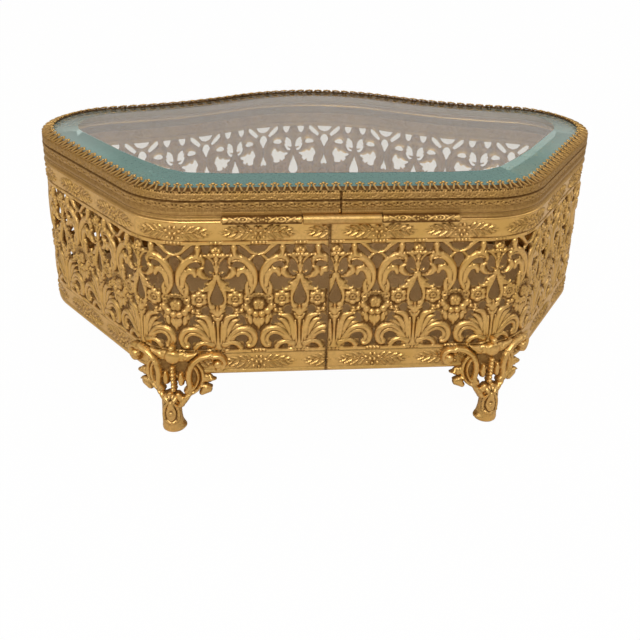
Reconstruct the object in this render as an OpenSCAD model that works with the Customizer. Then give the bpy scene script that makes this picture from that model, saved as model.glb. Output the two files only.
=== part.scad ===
// Bevelled-glass jewel casket: a pierced brass wall on cast scroll feet, with a hinged glass lid.
// Heights inside the modules are measured from the bottom edge of the wall.
// Depths are measured from the outer face of the wall on the hinge side.

/* [Plan outline] */
// Length of the straight hinge side
hinge_side = 110; // [96:1:120]
// Radius of the corners beside the hinge side
back_corner_r = 28; // [22:1:32]
// Angle between the hinge side and a flank
flank_angle = 56.5; // [52:0.5:60]
// Radius of the round outer corners
outer_corner_r = 32; // [28:1:36]
// Angle that an outer corner turns through
outer_corner_turn = 109.5; // [106:0.5:112]
// Straight shoulder between an outer corner and the hollow
shoulder_run = 13.1; // [8:0.1:18]
// Radius of the hollow beside the bowed front
hollow_r = 163; // [140:1:180]
// Angle that the hollow turns back
hollow_turn = 16; // [12:0.5:18]
// Radius of the bowed front
bow_r = 75; // [65:1:85]

/* [Pierced wall] */
// Height of the stamped wall strip
wall_h = 62.3; // [60:0.1:66]
// Thickness of the strip
wall_t = 1; // [0.8:0.1:1.2]
// Length of one repeat of the pierced pattern
repeat_run = 31; // [29:0.5:33]
// Where the ends of the strip meet, from the middle of the hinge side
seam_s = -4.2; // [-8:0.1:-1]
// From the seam to the axis of the first palmette
first_palmette = 2.8; // [1:0.1:4]
// Gap left between the two ends of the strip
seam_gap = 0.3; // [0.2:0.05:0.5]
// How far the bead mouldings stand out of the wall
moulding_out = 0.5; // [0.3:0.1:0.8]

// Place of the small rivet in the lower band
rivet_s = 7.1; // [5:0.1:12]

/* [Feet] */
// Height of the feet below the wall
foot_h = 25; // [20:0.5:28]
// Place of the back feet along the wall, from the middle of the hinge side
back_foot_s = 62.2; // [60:0.1:66]
// How far both back feet sit to the left of their true places
back_foot_shift = 0.8; // [0:0.1:1]
// Place of the front feet along the wall, from the middle of the hinge side
front_foot_s = 200; // [190:0.5:205]
// How far the cast scrolls stand out of the wall
scroll_out = 3.4; // [2.6:0.1:3.5]
// Radius of the ankle at its thinnest
ankle_r = 3.7; // [3.2:0.1:4]

/* [Hinge] */
// Length of each of the three knuckles
knuckle_len = 28.6; // [24:0.1:30]
// Gap between neighbouring knuckles
knuckle_gap = 0.4; // [0.3:0.1:0.8]
// Outer radius of the knuckles
knuckle_r = 1.85; // [1.7:0.05:1.9]
// Radius of the hinge pin
pin_r = 0.9; // [0.8:0.05:1]
// Radial clearance of the pin in the lid's knuckles
pin_play = 0.05; // [0.02:0.01:0.1]
// How far the pin's axis lies behind the wall
axis_out = 1.7; // [1.6:0.05:1.9]
// Height of the pin's axis above the bottom of the wall
axis_z = 64; // [63.8:0.05:64.2]

/* [Lid] */
// How far the lid's frame stands out past the wall
lid_out = 0.8; // [0.5:0.1:1]
// Top of the glass above the bottom of the wall
glass_top = 75.9; // [75.5:0.1:76.5]
// Top of the ground edge of the glass
glass_edge_top = 74.2; // [73.8:0.1:74.4]
// From the wall's outer face to the inner line of the bevel
bevel_in = 15.5; // [12:0.5:18]
// Distance between the teeth that hold the glass
tooth_pitch = 4.4; // [4:0.1:5]

/* [Hidden] */
$fn = 32;
gilt = "#c9a45c";
dark_gilt = "#8a6a3a";

// The half outline as legs: run, radius and turn. A straight leg has radius 0.
bow_turn = 180 - flank_angle - outer_corner_turn + hollow_turn;
shoulder_heading = flank_angle + outer_corner_turn;
hollow_heading = shoulder_heading - hollow_turn;
corners_x = back_corner_r * sin(flank_angle)
    + outer_corner_r * (sin(shoulder_heading) - sin(flank_angle));
front_x = shoulder_run * cos(shoulder_heading)
    + hollow_r * (sin(shoulder_heading) - sin(hollow_heading)) - bow_r * sin(hollow_heading);
flank_run = -(hinge_side / 2 + corners_x + front_x) / cos(flank_angle);
legs = [
    [hinge_side / 2, 0, 0],
    [0, back_corner_r, flank_angle],
    [flank_run, 0, 0],
    [0, outer_corner_r, outer_corner_turn],
    [shoulder_run, 0, 0],
    [0, hollow_r, -hollow_turn],
    [0, bow_r, bow_turn],
];
chord_turn = 12;
chord_run = 11;

function leg_run(leg) = leg[1] == 0 ? leg[0] : leg[1] * abs(leg[2]) * PI / 180;
function leg_heading(k) = k == 0 ? 0 : leg_heading(k - 1) + legs[k - 1][2];
function leg_step(leg, h, part) = leg[1] == 0
    ? leg[0] * part * [cos(h), sin(h)]
    : sign(leg[2]) * leg[1] * [sin(h + leg[2] * part) - sin(h), cos(h) - cos(h + leg[2] * part)];
function leg_start(k) = k == 0 ? [0, 0] : leg_start(k - 1) + leg_step(legs[k - 1], leg_heading(k - 1), 1);
function leg_chords(leg) = leg[1] == 0
    ? 1
    : ceil(max(abs(leg[2]) / chord_turn, leg_run(leg) / chord_run));
function runs_before(k) = k == 0 ? 0 : runs_before(k - 1) + leg_run(legs[k - 1]);
function leg_at(s, k = 0) = k == len(legs) - 1 || s < runs_before(k + 1) ? k : leg_at(s, k + 1);
function inward(h) = [-sin(h), cos(h)];

half_run = runs_before(len(legs));
wall_depth = leg_start(len(legs))[1];

// Points of the right half at an inset from the wall's outer face
function half_points(inset) = [
    for (k = [1:len(legs) - 1])
        let (n = leg_chords(legs[k]))
        for (i = [0:n - 1])
            let (h = leg_heading(k) + legs[k][2] * i / n)
            leg_start(k) + leg_step(legs[k], leg_heading(k), i / n) + inset * inward(h)
];
// The whole outline, anticlockwise from the start of the right back corner
function outline(inset) =
    let (right = half_points(inset))
    concat(
        right,
        [[0, wall_depth - inset]],
        [for (i = [len(right) - 1:-1:0]) [-right[i][0], right[i][1]]]
    );

// Puts its children at a run along the wall: x along the wall, y inwards, z up
module on_wall(s) {
    w = s > half_run ? s - 2 * half_run : s;
    a = abs(w);
    k = leg_at(a);
    part = (a - runs_before(k)) / leg_run(legs[k]);
    h = leg_heading(k) + legs[k][2] * part;
    p = leg_start(k) + leg_step(legs[k], leg_heading(k), part);
    if (w < 0) {
        translate([-p[0], p[1], 0]) rotate([0, 0, -h]) children();
    } else {
        translate([p[0], p[1], 0]) rotate([0, 0, h]) children();
    }
}

// The part's own frame: the floor under the feet, and the middle of the depth
rim_out = 0.9;
back_reach = axis_out + knuckle_r;
module part_frame() {
    translate([0, (back_reach - wall_depth - rim_out) / 2, foot_h]) children();
}

module ring(outer, inner, z0, z1) {
    translate([0, 0, z0]) linear_extrude(z1 - z0) difference() {
        polygon(outline(outer));
        polygon(outline(inner));
    }
}

// A moulding: a closed profile of [inset, height] points carried round the outline
module moulding(profile) {
    stations = len(outline(0));
    m = len(profile);
    rings = [for (p = profile) outline(p[0])];
    points = [for (j = [0:m - 1]) for (i = [0:stations - 1]) [rings[j][i][0], rings[j][i][1], profile[j][1]]];
    faces = [for (j = [0:m - 1]) for (i = [0:stations - 1])
        let (a = j * stations, b = (j + 1) % m * stations, n = (i + 1) % stations)
        [a + i, a + n, b + n, b + i]];
    polyhedron(points, faces);
}

// A solid slab whose edge follows a profile of [inset, height] points from the bottom up
module slab(profile) {
    stations = len(outline(0));
    m = len(profile);
    rings = [for (p = profile) outline(p[0])];
    points = [for (j = [0:m - 1]) for (i = [0:stations - 1]) [rings[j][i][0], rings[j][i][1], profile[j][1]]];
    sides = [for (j = [0:m - 2]) for (i = [0:stations - 1])
        let (a = j * stations, b = a + stations, n = (i + 1) % stations)
        [a + i, b + i, b + n, a + n]];
    bottom = [for (i = [0:stations - 1]) i];
    top = [for (i = [stations - 1:-1:0]) (m - 1) * stations + i];
    polyhedron(points, concat([bottom], sides, [top]));
}

// Hole shapes of the pierced pattern
function drop(w, h) = [for (a = [0:45:315]) [0.65 * w * sin(a) * sin(a / 2), h / 2 * cos(a)]];
function oval(w, h) = [for (a = [0:45:315]) [w / 2 * cos(a), h / 2 * sin(a)]];
function bowl(w, h) = [for (a = [180:45:360]) [w / 2 * cos(a), h * sin(a)]];
function peak(w, h) = [[-w / 2, -h / 2], [w / 2, -h / 2], [0, h / 2]];
function slot(w, h) = [[-w / 2, -h / 2], [w / 2, -h / 2], [w / 2, h / 2], [-w / 2, h / 2]];
function burst(w, h) = [for (i = [0:9]) (i % 2 == 0 ? 0.5 : 0.32) * [w * cos(i * 36), h * sin(i * 36)]];

// One repeat: beside the palmette's axis, height, turn, outline. Paired holes have a mirror image.
half_repeat = repeat_run / 2;
single_holes = [
    [0, 33.6, 0, drop(4.9, 9)],
    [half_repeat, 53.4, 0, bowl(7, 3.2)],
    [half_repeat, 45.9, 180, drop(4.4, 6.6)],
    [half_repeat, 35.9, 0, peak(3, 4.8)],
    [half_repeat, 14, 0, peak(2.8, 6.4)],
];
paired_holes = [
    [10.1, 51, -41, slot(6.2, 1.9)],
    [3.6, 51.9, 180, peak(3.4, 3.4)],
    [2.9, 44.6, -8, drop(3.2, 6.2)],
    [8.1, 45.8, -10, oval(4.6, 2.6)],
    [7.7, 38.4, 0, burst(8.8, 6)],
    [4.2, 26.8, 0, oval(3.8, 3)],
    [8.8, 22.8, 180, peak(3.8, 4)],
    [8.7, 15, 0, oval(4, 2.8)],
    [4.7, 10.8, 180, bowl(3.4, 1.3)],
];

module pierce(s, z, turn, shape) {
    depth = 4 * wall_t;
    on_wall(s) translate([0, wall_t / 2, z]) rotate([90, -turn, 0])
        linear_extrude(depth, center = true) polygon(shape);
}

strip_run = 2 * half_run;
hole_margin = 2.6;
module pierced_holes() {
    for (k = [0:ceil(strip_run / repeat_run)]) {
        for (hole = single_holes) {
            s = first_palmette + k * repeat_run + hole[0];
            if (s > hole_margin && s < strip_run - hole_margin) {
                pierce(seam_s + s, hole[1], hole[2], hole[3]);
            }
        }
        for (hole = paired_holes, side = [-1, 1]) {
            s = first_palmette + k * repeat_run + side * hole[0];
            if (s > hole_margin && s < strip_run - hole_margin) {
                pierce(seam_s + s, hole[1], side * hole[2], [for (p = hole[3]) [side * p[0], p[1]]]);
            }
        }
    }
}

lower_bead_z = 9;
upper_bead_z = 54;
bead_h = 1.1;
rivet_z = 5;
rivet_r = 0.7;
module filigree_wall() {
    color(gilt) part_frame() difference() {
        union() {
            ring(0, wall_t, 0, wall_h);
            ring(-moulding_out, wall_t / 2, lower_bead_z, lower_bead_z + bead_h);
            ring(-moulding_out, wall_t / 2, upper_bead_z, upper_bead_z + bead_h);
        }
        pierced_holes();
        on_wall(rivet_s) translate([0, -wall_t, rivet_z]) rotate([-90, 0, 0])
            cylinder(r = rivet_r, h = 3 * wall_t);
        on_wall(seam_s) translate([-seam_gap / 2, -2 * wall_t, -1]) cube([seam_gap, 4 * wall_t, wall_h + 2]);
    }
}

// Rolled bead on top of the wall, with the inner lip that the lid closes on
lip_top = 64.9;
lip_in = 1.8;
skirt_bottom = 60;
notch_gap = 0.2;
tongue_t = 0.8;
hinge_half = 1.5 * knuckle_len + knuckle_gap;
module wall_rim() {
    bead_h1 = wall_h + 0.4;
    bead_h2 = wall_h + 1;
    bead_h3 = wall_h + 1.4;
    color(gilt) part_frame() difference() {
        union() {
            ring(wall_t, lip_in, skirt_bottom, wall_h);
            ring(-0.5, lip_in, wall_h, bead_h1);
            ring(-rim_out, lip_in, bead_h1, bead_h2);
            ring(-0.5, lip_in, bead_h2, bead_h3);
            ring(0.4, lip_in, bead_h3, lip_top);
        }
        // the bead stops either side of the hinge
        translate([-hinge_half - notch_gap, -2, wall_h - 1])
            cube([2 * (hinge_half + notch_gap), 2.6, lip_top - wall_h + 2]);
        // and the hinge's tongue passes under the lip
        translate([-knuckle_len / 2 - notch_gap, -1, skirt_bottom - 1])
            cube([knuckle_len + 2 * notch_gap, 4, wall_h + tongue_t + notch_gap - skirt_bottom + 0.9]);
    }
}

// Sheet floor inside the foot of the wall, the board on it and the padded velvet
floor_t = 1;
board_t = 1.5;
pad_h = 5.4;
screw_in = 7;
screw_r = 1;
back_left_s = -back_foot_s - back_foot_shift;
back_right_s = back_foot_s - back_foot_shift;
foot_places = [back_left_s, back_right_s, -front_foot_s, front_foot_s];
module floor_plate() {
    color(dark_gilt) part_frame() difference() {
        linear_extrude(floor_t) polygon(outline(wall_t));
        for (s = foot_places) {
            on_wall(s) translate([0, screw_in, -1]) cylinder(r = screw_r, h = floor_t + 2);
        }
    }
}
module pad_board() {
    color("#6b5a45") part_frame() translate([0, 0, floor_t])
        linear_extrude(board_t) polygon(outline(wall_t + 0.5));
}
module velvet_pad() {
    z0 = floor_t + board_t;
    edge = wall_t + 0.5;
    color("#6e553a") part_frame() slab([
        [edge + 0.4, z0], [edge, z0 + 1], [edge, z0 + 3.2], [edge + 1, z0 + 4.6], [edge + 4, z0 + pad_h]
    ]);
}

// Cast foot: scrolled arms either side of a beaded stem, over an ankle and a hoof.
// The arms lie against the wall and step forward over its lower moulding.
foot_clear = 0.1;
arms_low = -14;
arms_step = 8.6;
arms_high = 14;
leg_top = -7.2;
leg_out = 0.1;
leg_off = 1.8;
hoof_r = 4.2;
lug_t = 1.2;
lug_w = 6;
// Strands of the openwork's right half: centre, radius, width and the angles of the ends
foot_arcs = [
    [[14.2, 0.6], 8.4, 2.6, 66, 165],
    [[17.5, -1], 11.9, 2.6, 162, 203],
    [[16.4, 5.7], 2.9, 2.6, -75, 95],
    [[1.2, -0.6], 7.9, 1.5, -66, 36],
    [[2.3, -0.6], 8.65, 1.4, -72, 35],
];
// Round lobes of the curl and of the leaf: centre and radius
foot_lobes = [[16.6, 4.6, 1.5], [12, -5.8, 2.1], [10.6, -6.6, 1.5]];
foot_bud = [[9.9, 1.2], [14.2, 1.5], [16.5, -1], [14.4, -3], [10.8, -3.2]];
foot_collar = [
    [-8.9, 9.9], [-6, 8.6], [-3.6, 10.6], [-1.6, 11.4], [1.6, 11.4], [3.6, 10.6], [6, 8.6], [8.9, 9.9],
    [7.8, 7.2], [5, 5.5], [-5, 5.5], [-7.8, 7.2]
];
foot_shoulder = [[-7.2, -7.2], [-4.3, -6.8], [4.3, -6.8], [7.2, -7.2], [4, -13.4], [-4, -13.4]];
// Thin web behind the drops: half width, bottom, top and how far it stands out
foot_web = [5.6, -3, 1.5, 1.2];
foot_drop = [2.7, -1.2];
stem_w = 1.4;
// A band along an arc between two angles, for arcs under 180 degrees
module arc_band(centre, r, width, from, to) {
    reach = 1.5 * (r + width);
    translate(centre) intersection() {
        difference() {
            circle(r + width / 2);
            circle(r - width / 2);
        }
        polygon(concat(
            [[0, 0]],
            [for (i = [0:4]) let (a = from + (to - from) * i / 4) reach * [cos(a), sin(a)]]
        ));
    }
}
module foot_half() {
    for (arc = foot_arcs) {
        arc_band(arc[0], arc[1], arc[2], arc[3], arc[4]);
    }
    for (lobe = foot_lobes) {
        translate([lobe[0], lobe[1]]) circle(lobe[2]);
    }
    polygon(foot_bud);
    // one of the two drops that hang beside the stem
    translate(foot_drop) polygon(drop(2.6, 5.4));
    translate([foot_drop[0] - stem_w / 4, 1]) square([stem_w / 2, 5]);
}
module foot_openwork() {
    foot_half();
    mirror([1, 0]) foot_half();
    polygon(foot_collar);
    polygon(foot_shoulder);
    translate([-stem_w / 2, -8]) square([stem_w, 14]);
}
module foot_leg() {
    rotate_extrude() polygon([
        [0, -foot_h], [hoof_r - 0.4, -foot_h], [hoof_r, -foot_h + 1.2], [hoof_r - 0.2, -foot_h + 4],
        [ankle_r + 0.3, -foot_h + 7], [ankle_r, -15], [ankle_r + 0.3, -11], [ankle_r, leg_top], [0, leg_top]
    ]);
}
// toe is the side that the hoof flares to, 1 or -1. The leg stands to the other side of the stem.
module foot(s, toe) {
    bead_r = 0.85;
    bead_step = 1.55;
    bead_top = 3.1;
    ball_r = 1.4;
    ball_z = 12.1;
    toe_off = 1;
    toe_h = 5;
    color(gilt) part_frame() difference() {
        union() {
            intersection() {
                union() {
                    ring(-scroll_out, -foot_clear, arms_low, arms_step);
                    ring(-scroll_out, -foot_clear - moulding_out, arms_step, arms_high);
                }
                on_wall(s) rotate([90, 0, 0]) linear_extrude(40, center = true) foot_openwork();
            }
            intersection() {
                ring(-foot_web[3], -foot_clear, foot_web[1], foot_web[2]);
                on_wall(s) translate([-foot_web[0], -10, arms_low])
                    cube([2 * foot_web[0], 20, arms_high - arms_low]);
            }
            on_wall(s) {
                translate([-toe * leg_off, -leg_out, 0]) foot_leg();
                translate([-toe * toe_off, -leg_out, -foot_h])
                    cylinder(r1 = hoof_r - 0.3, r2 = ankle_r - 0.6, h = toe_h);
                for (i = [0:6]) {
                    translate([0, -scroll_out, bead_top - i * bead_step]) sphere(bead_r);
                }
                translate([0, -scroll_out + 0.4, ball_z]) sphere(ball_r);
                translate([-lug_w / 2, -2, -lug_t]) cube([lug_w, screw_in + 5, lug_t]);
            }
        }
        on_wall(s) translate([0, screw_in, -lug_t - 1]) cylinder(r = screw_r, h = lug_t + 2);
    }
}
module foot_screws() {
    head_r = 1.9;
    head_h = 1.1;
    color(dark_gilt) part_frame() for (s = foot_places) {
        on_wall(s) translate([0, screw_in, -lug_t]) {
            translate([0, 0, -head_h]) cylinder(r = head_r, h = head_h);
            translate([0, 0, -head_h / 2]) cylinder(r = screw_r, h = head_h / 2 + lug_t + floor_t);
        }
    }
}
module band_rivet() {
    head_r = 1.05;
    head_t = 0.45;
    tail_t = 0.3;
    color(dark_gilt) part_frame() on_wall(rivet_s) translate([0, 0, rivet_z]) rotate([-90, 0, 0]) {
        translate([0, 0, -head_t]) cylinder(r = head_r, h = head_t);
        translate([0, 0, -head_t / 2]) cylinder(r = rivet_r, h = head_t / 2 + wall_t + tail_t / 2);
        translate([0, 0, wall_t]) cylinder(r = head_r, h = tail_t);
    }
}

// Hinge: a plain knuckle on the wall between two on the lid, and one pin
leaf_top = 68.2;
leaf_t = 0.45;
flap_h = 6;
module on_axis(from, to, r) {
    translate([from, -axis_out, axis_z]) rotate([0, 90, 0]) cylinder(r = r, h = to - from);
}
module hinge_centre_knuckle() {
    half = knuckle_len / 2;
    color(gilt) part_frame() difference() {
        union() {
            on_axis(-half, half, knuckle_r);
            translate([-half, -axis_out, wall_h]) cube([knuckle_len, axis_out + wall_t + tongue_t, tongue_t]);
            translate([-half, wall_t, wall_h - flap_h]) cube([knuckle_len, tongue_t, flap_h + tongue_t]);
        }
        on_axis(-half - 1, half + 1, pin_r);
    }
}
module hinge_pin() {
    color(dark_gilt) part_frame() on_axis(-hinge_half - 0.3, hinge_half + 0.3, pin_r);
}
// A lid knuckle from the run x, with the leaf that goes up the outside of the frame
module lid_knuckle(x) {
    color(gilt) part_frame() difference() {
        union() {
            on_axis(x, x + knuckle_len, knuckle_r);
            translate([x, -lid_out - leaf_t, axis_z]) cube([knuckle_len, leaf_t, leaf_top - axis_z]);
        }
        on_axis(x - 1, x + knuckle_len + 1, pin_r + pin_play);
    }
}

// Lid frame: smooth and embossed bands outside, a groove, and the ledge that carries the glass
lid_bottom = lip_top + 0.3;
milled_z = 67.1;
milled_h = 0.5;
milled_in = 0.3;
ledge_z = 70.6;
ledge_t = 0.8;
ledge_reach = 4.2;
gallery_z = 71.3;
gallery_in = 0.8;
glass_in = 0.9;
frame_edge = 0.3;
module lid_frame() {
    color(gilt) part_frame() difference() {
        moulding([
            [frame_edge - lid_out, lid_bottom], [-lid_out, lid_bottom + frame_edge],
            [-lid_out, milled_z - frame_edge],
            [milled_in - lid_out, milled_z], [milled_in - lid_out, milled_z + milled_h],
            [-lid_out, milled_z + milled_h + frame_edge], [-lid_out, ledge_z - 0.1], [-0.1, ledge_z + 0.2],
            [-0.1, gallery_z], [gallery_in, gallery_z], [gallery_in, ledge_z], [ledge_reach, ledge_z],
            [ledge_reach, ledge_z - ledge_t], [0.4, ledge_z - ledge_t], [0.4, lid_bottom]
        ]);
        on_axis(-hinge_half - notch_gap, hinge_half + notch_gap, knuckle_r + 0.3);
    }
}

// Gallery: an embossed band with open claws that lean in over the ground edge of the glass
band_top = 74.2;
claw_lean = 22;
claw_t = 0.5;
claw_shape = [
    [-1.9, -0.3], [1.9, -0.3], [0.8, 2.9], [1.4, 3.5], [0.8, 4.2], [-0.8, 4.2], [-1.4, 3.5], [-0.8, 2.9]
];
claw_window = [[-1.1, 0.5], [1.1, 0.5], [0.25, 2.6], [-0.25, 2.6]];
// peg on the inside of a claw's head, that rests on the glass
peg = [1.2, 0.7, 1.15];
peg_at = 3.1;
module claw() {
    translate([0, -0.4, band_top]) rotate([claw_lean, 0, 0]) {
        linear_extrude(claw_t) difference() {
            polygon(claw_shape);
            polygon(claw_window);
        }
        translate([-peg[0] / 2, peg_at, claw_t / 2 - peg[2]]) cube(peg);
    }
}
module glass_gallery() {
    claws = round(strip_run / tooth_pitch);
    color(gilt) part_frame() union() {
        ring(-lid_out, 0.2, gallery_z, band_top - 0.3);
        ring(-0.5, 0.2, band_top - 0.3, band_top + 0.1);
        for (i = [0:claws - 1]) {
            on_wall((i + 0.5) * strip_run / claws) claw();
        }
    }
}

module lid_glass() {
    color("#8fc4b8", 0.35) part_frame() slab([
        [glass_in + 0.3, ledge_z], [glass_in, ledge_z + 0.3], [glass_in, glass_edge_top], [bevel_in, glass_top]
    ]);
}

filigree_wall();
wall_rim();
floor_plate();
pad_board();
velvet_pad();
foot(back_left_s, 1);  // foot_back_left
foot(back_right_s, -1);  // foot_back_right
foot(-front_foot_s, -1);  // foot_front_left
foot(front_foot_s, 1);  // foot_front_right
foot_screws();
band_rivet();
hinge_centre_knuckle();
hinge_pin();
lid_knuckle(-hinge_half);  // hinge_left_knuckle
lid_knuckle(hinge_half - knuckle_len);  // hinge_right_knuckle
lid_frame();
glass_gallery();
lid_glass();
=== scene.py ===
import math

import bmesh
import bpy
import numpy as np
from mathutils import Matrix, Vector


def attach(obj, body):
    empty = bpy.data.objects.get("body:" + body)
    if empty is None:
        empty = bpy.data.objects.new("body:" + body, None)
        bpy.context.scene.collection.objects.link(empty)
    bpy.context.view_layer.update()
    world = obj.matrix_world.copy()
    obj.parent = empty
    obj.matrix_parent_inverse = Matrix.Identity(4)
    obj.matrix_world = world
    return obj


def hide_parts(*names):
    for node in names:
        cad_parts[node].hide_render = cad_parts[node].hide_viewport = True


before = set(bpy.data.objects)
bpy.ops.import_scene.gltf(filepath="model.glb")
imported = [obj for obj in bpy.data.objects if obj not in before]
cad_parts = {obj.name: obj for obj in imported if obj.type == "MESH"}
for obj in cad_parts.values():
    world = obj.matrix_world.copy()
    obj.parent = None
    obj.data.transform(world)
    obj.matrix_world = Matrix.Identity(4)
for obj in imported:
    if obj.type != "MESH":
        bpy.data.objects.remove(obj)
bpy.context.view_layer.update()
mm = 0.001
wellInside = 9.0  # further from any edge than the work reaches
scene = bpy.context.scene

# camera, floor and lamps

cameraValues = {
    "place": (-42.77, -396.05, 217.68),
    "yaw": 6.743,
    "pitchDown": 27.361,
    "roll": -1.782,
    "lens": 54.49,
    "shift": (-0.0115, -0.001),
}

studio = {
    "floorSize": 6.0,
    "floorColour": (0.80, 0.77, 0.73),
    "floorShade": (0.76, 0.73, 0.69),
    "floorWhite": 0.98,
    # sky: sine of the height where each tone gives way to the next, and that tone
    "below": (0.16, 0.11, 0.07),
    "sky": [(-0.05, 0.05, (0.26, 0.23, 0.19)), (0.05, 0.4, (0.58, 0.54, 0.46)), (0.4, 0.75, (0.78, 0.77, 0.76))],
    "lamps": {
        "softbox_front": {"place": (-0.22, -0.85, 0.95), "aim": (0, 0, 0.05), "size": 0.6, "power": 6.0},
        "softbox_left": {"place": (-1.0, -0.35, 0.55), "aim": (0, 0, 0.05), "size": 0.4, "power": 0.9},
        "softbox_right": {"place": (1.1, 0.1, 0.7), "aim": (0, 0, 0.05), "size": 0.5, "power": 1.1},
    },
}


def makeCamera(values):
    data = bpy.data.cameras.new("viewing_camera")
    data.sensor_width = 36
    data.lens = values["lens"]
    data.shift_x, data.shift_y = values["shift"]
    data.clip_start = 0.01
    camera = bpy.data.objects.new("viewing_camera", data)
    scene.collection.objects.link(camera)
    yaw, pitch, roll = (math.radians(values[key]) for key in ("yaw", "pitchDown", "roll"))
    forward = Vector((math.sin(yaw) * math.cos(pitch), math.cos(yaw) * math.cos(pitch), -math.sin(pitch)))
    level = Vector((math.cos(yaw), -math.sin(yaw), 0))
    down = forward.cross(level)
    right = level * math.cos(roll) + down * math.sin(roll)
    up = level * math.sin(roll) - down * math.cos(roll)
    turn = Matrix((right, up, -forward)).transposed()
    camera.matrix_world = Matrix.Translation(Vector(values["place"]) * mm) @ turn.to_4x4()
    scene.camera = camera


def makeLamps(lamps):
    for name, lamp in lamps.items():
        data = bpy.data.lights.new(name, "AREA")
        data.size = lamp["size"]
        data.energy = lamp["power"]
        place = Vector(lamp["place"])
        light = bpy.data.objects.new(name, data)
        light.location = place
        light.rotation_euler = (Vector(lamp["aim"]) - place).to_track_quat("-Z", "Y").to_euler()
        scene.collection.objects.link(light)


# node graphs as expressions

class Wire:  # one output of a node, usable in sums
    def __init__(self, graph, socket):
        self.graph = graph
        self.socket = socket

    def sum(self, operation, *values):
        return self.graph.add("ShaderNodeMath", {"operation": operation}, dict(enumerate(values)))

    def __add__(self, other):
        return self.sum("ADD", self, other)

    def __rsub__(self, other):
        return self.sum("SUBTRACT", other, self)

    def __mul__(self, other):
        return self.sum("MULTIPLY", self, other)

    __radd__ = __add__
    __rmul__ = __mul__

    def held(self):  # kept between 0 and 1
        return self.graph.add("ShaderNodeClamp", {}, {0: self})

    def out(self, key):  # another output of the same node
        return Wire(self.graph, self.socket.node.outputs[key])


class Graph:
    def __init__(self, tree):
        self.tree = tree
        tree.nodes.clear()

    def add(self, kind, settings=None, sockets=None, out=0):
        node = self.tree.nodes.new(kind)
        for name, value in (settings or {}).items():
            if name == "stops":
                ramp = node.color_ramp
                while len(ramp.elements) < len(value):
                    ramp.elements.new(1.0)
                for element, (at, colour) in zip(ramp.elements, value):
                    element.position = at
                    element.color = colour if len(colour) == 4 else (*colour, 1)
            else:
                setattr(node, name, value)
        for key, value in (sockets or {}).items():
            if isinstance(value, Wire):
                self.tree.links.new(value.socket, node.inputs[key])
            else:
                node.inputs[key].default_value = value
        return Wire(self, node.outputs[out]) if len(node.outputs) else node

    def mixColour(self, factor, first, second, mode="MIX"):
        sides = {6: first, 7: second}
        sides = {key: value if isinstance(value, Wire) else (*value, 1) for key, value in sides.items()}
        settings = {"data_type": "RGBA", "blend_type": mode}
        return self.add("ShaderNodeMix", settings, {0: factor, **sides}, out=2)


class Finish(Graph):  # a surface finish with one Principled shader
    def __init__(self, name, **constants):
        self.material = bpy.data.materials.new(name)
        self.material.use_nodes = True
        super().__init__(self.material.node_tree)
        self.place = self.add("ShaderNodeTexCoord", out="Object")
        self.shader = self.add("ShaderNodeBsdfPrincipled", {}, constants).socket.node
        self.add("ShaderNodeOutputMaterial", {}, {"Surface": Wire(self, self.shader.outputs[0])})

    def noise(self, scale, detail=3.0, rough=0.55, stretch=(1, 1, 1)):
        place = self.place
        if stretch != (1, 1, 1):
            place = self.add("ShaderNodeMapping", {}, {"Vector": place, "Scale": stretch})
        return self.add("ShaderNodeTexNoise", {}, {
            "Vector": place, "Scale": scale, "Detail": detail, "Roughness": rough})

    def range(self, value, low, high, toLow=0.0, toHigh=1.0):
        return self.add("ShaderNodeMapRange", {}, {
            "Value": value, "From Min": low, "From Max": high, "To Min": toLow, "To Max": toHigh})

    def attribute(self, name):
        return self.add("ShaderNodeAttribute", {"attribute_name": name}, out="Fac")

    def give(self, **wires):
        for name, wire in wires.items():
            self.tree.links.new(wire.socket, self.shader.inputs[name.replace("_", " ")])

    def bump(self, height, distance, strength=1.0):
        self.give(Normal=self.add("ShaderNodeBump", {}, {
            "Height": height, "Distance": distance, "Strength": strength}))

    def cover(self, share, other):  # another shader over the main one
        both = self.add("ShaderNodeMixShader", {}, {0: share, 1: Wire(self, self.shader.outputs[0]), 2: other})
        self.tree.links.new(both.socket, self.tree.nodes["Material Output"].inputs["Surface"])


def paint(hexColour):  # written colour to the linear values that nodes take
    parts = [int(hexColour[i:i + 2], 16) / 255 for i in (1, 3, 5)]
    return tuple(p / 12.92 if p <= 0.04045 else ((p + 0.055) / 1.055) ** 2.4 for p in parts)


# finishes

goldTones = {
    "bright": "#e8be7a", "body": "#d2a962", "tarnish": "#a27c45", "patinaAndShade": "#6a461a",
    "clouds": 90, "fine": 900, "speck": 2600, "bump": 0.00006,
}


def goldFinish(name, polish=0.34, brown=0.0):
    finish = Finish(name, Metallic=1.0)
    bright, body, tarnish, patinaAndShade = (paint(goldTones[tone]) for tone in ("bright", "body", "tarnish", "patinaAndShade"))
    clouds = finish.noise(goldTones["clouds"], 3.0)
    fine = finish.noise(goldTones["fine"], 4.0)
    speck = finish.noise(goldTones["speck"], 2.0)
    colour = finish.mixColour(finish.range(clouds, 0.35, 0.68), body, bright)
    tarnished = finish.range(clouds * 0.6 + fine * 0.5, 0.52, 0.72, 0, 0.45) + brown
    colour = finish.mixColour(tarnished.held(), colour, tarnish)
    # the recess attribute mixes in the dark brown: patina that the metal holds in its hollows, together with
    # painted shade in hollows, creases and gaps
    deep = (finish.attribute("recess") * (fine * 0.7 + 0.6)).held()
    finish.give(Base_Color=finish.mixColour(deep, colour, patinaAndShade))
    finish.give(Roughness=(clouds * 0.12 + speck * 0.1 + deep * 0.3 + (polish - 0.11)).held())
    finish.give(Metallic=1 - deep * 0.35)
    finish.bump(fine + speck * 0.6, goldTones["bump"])
    return finish.material


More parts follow.
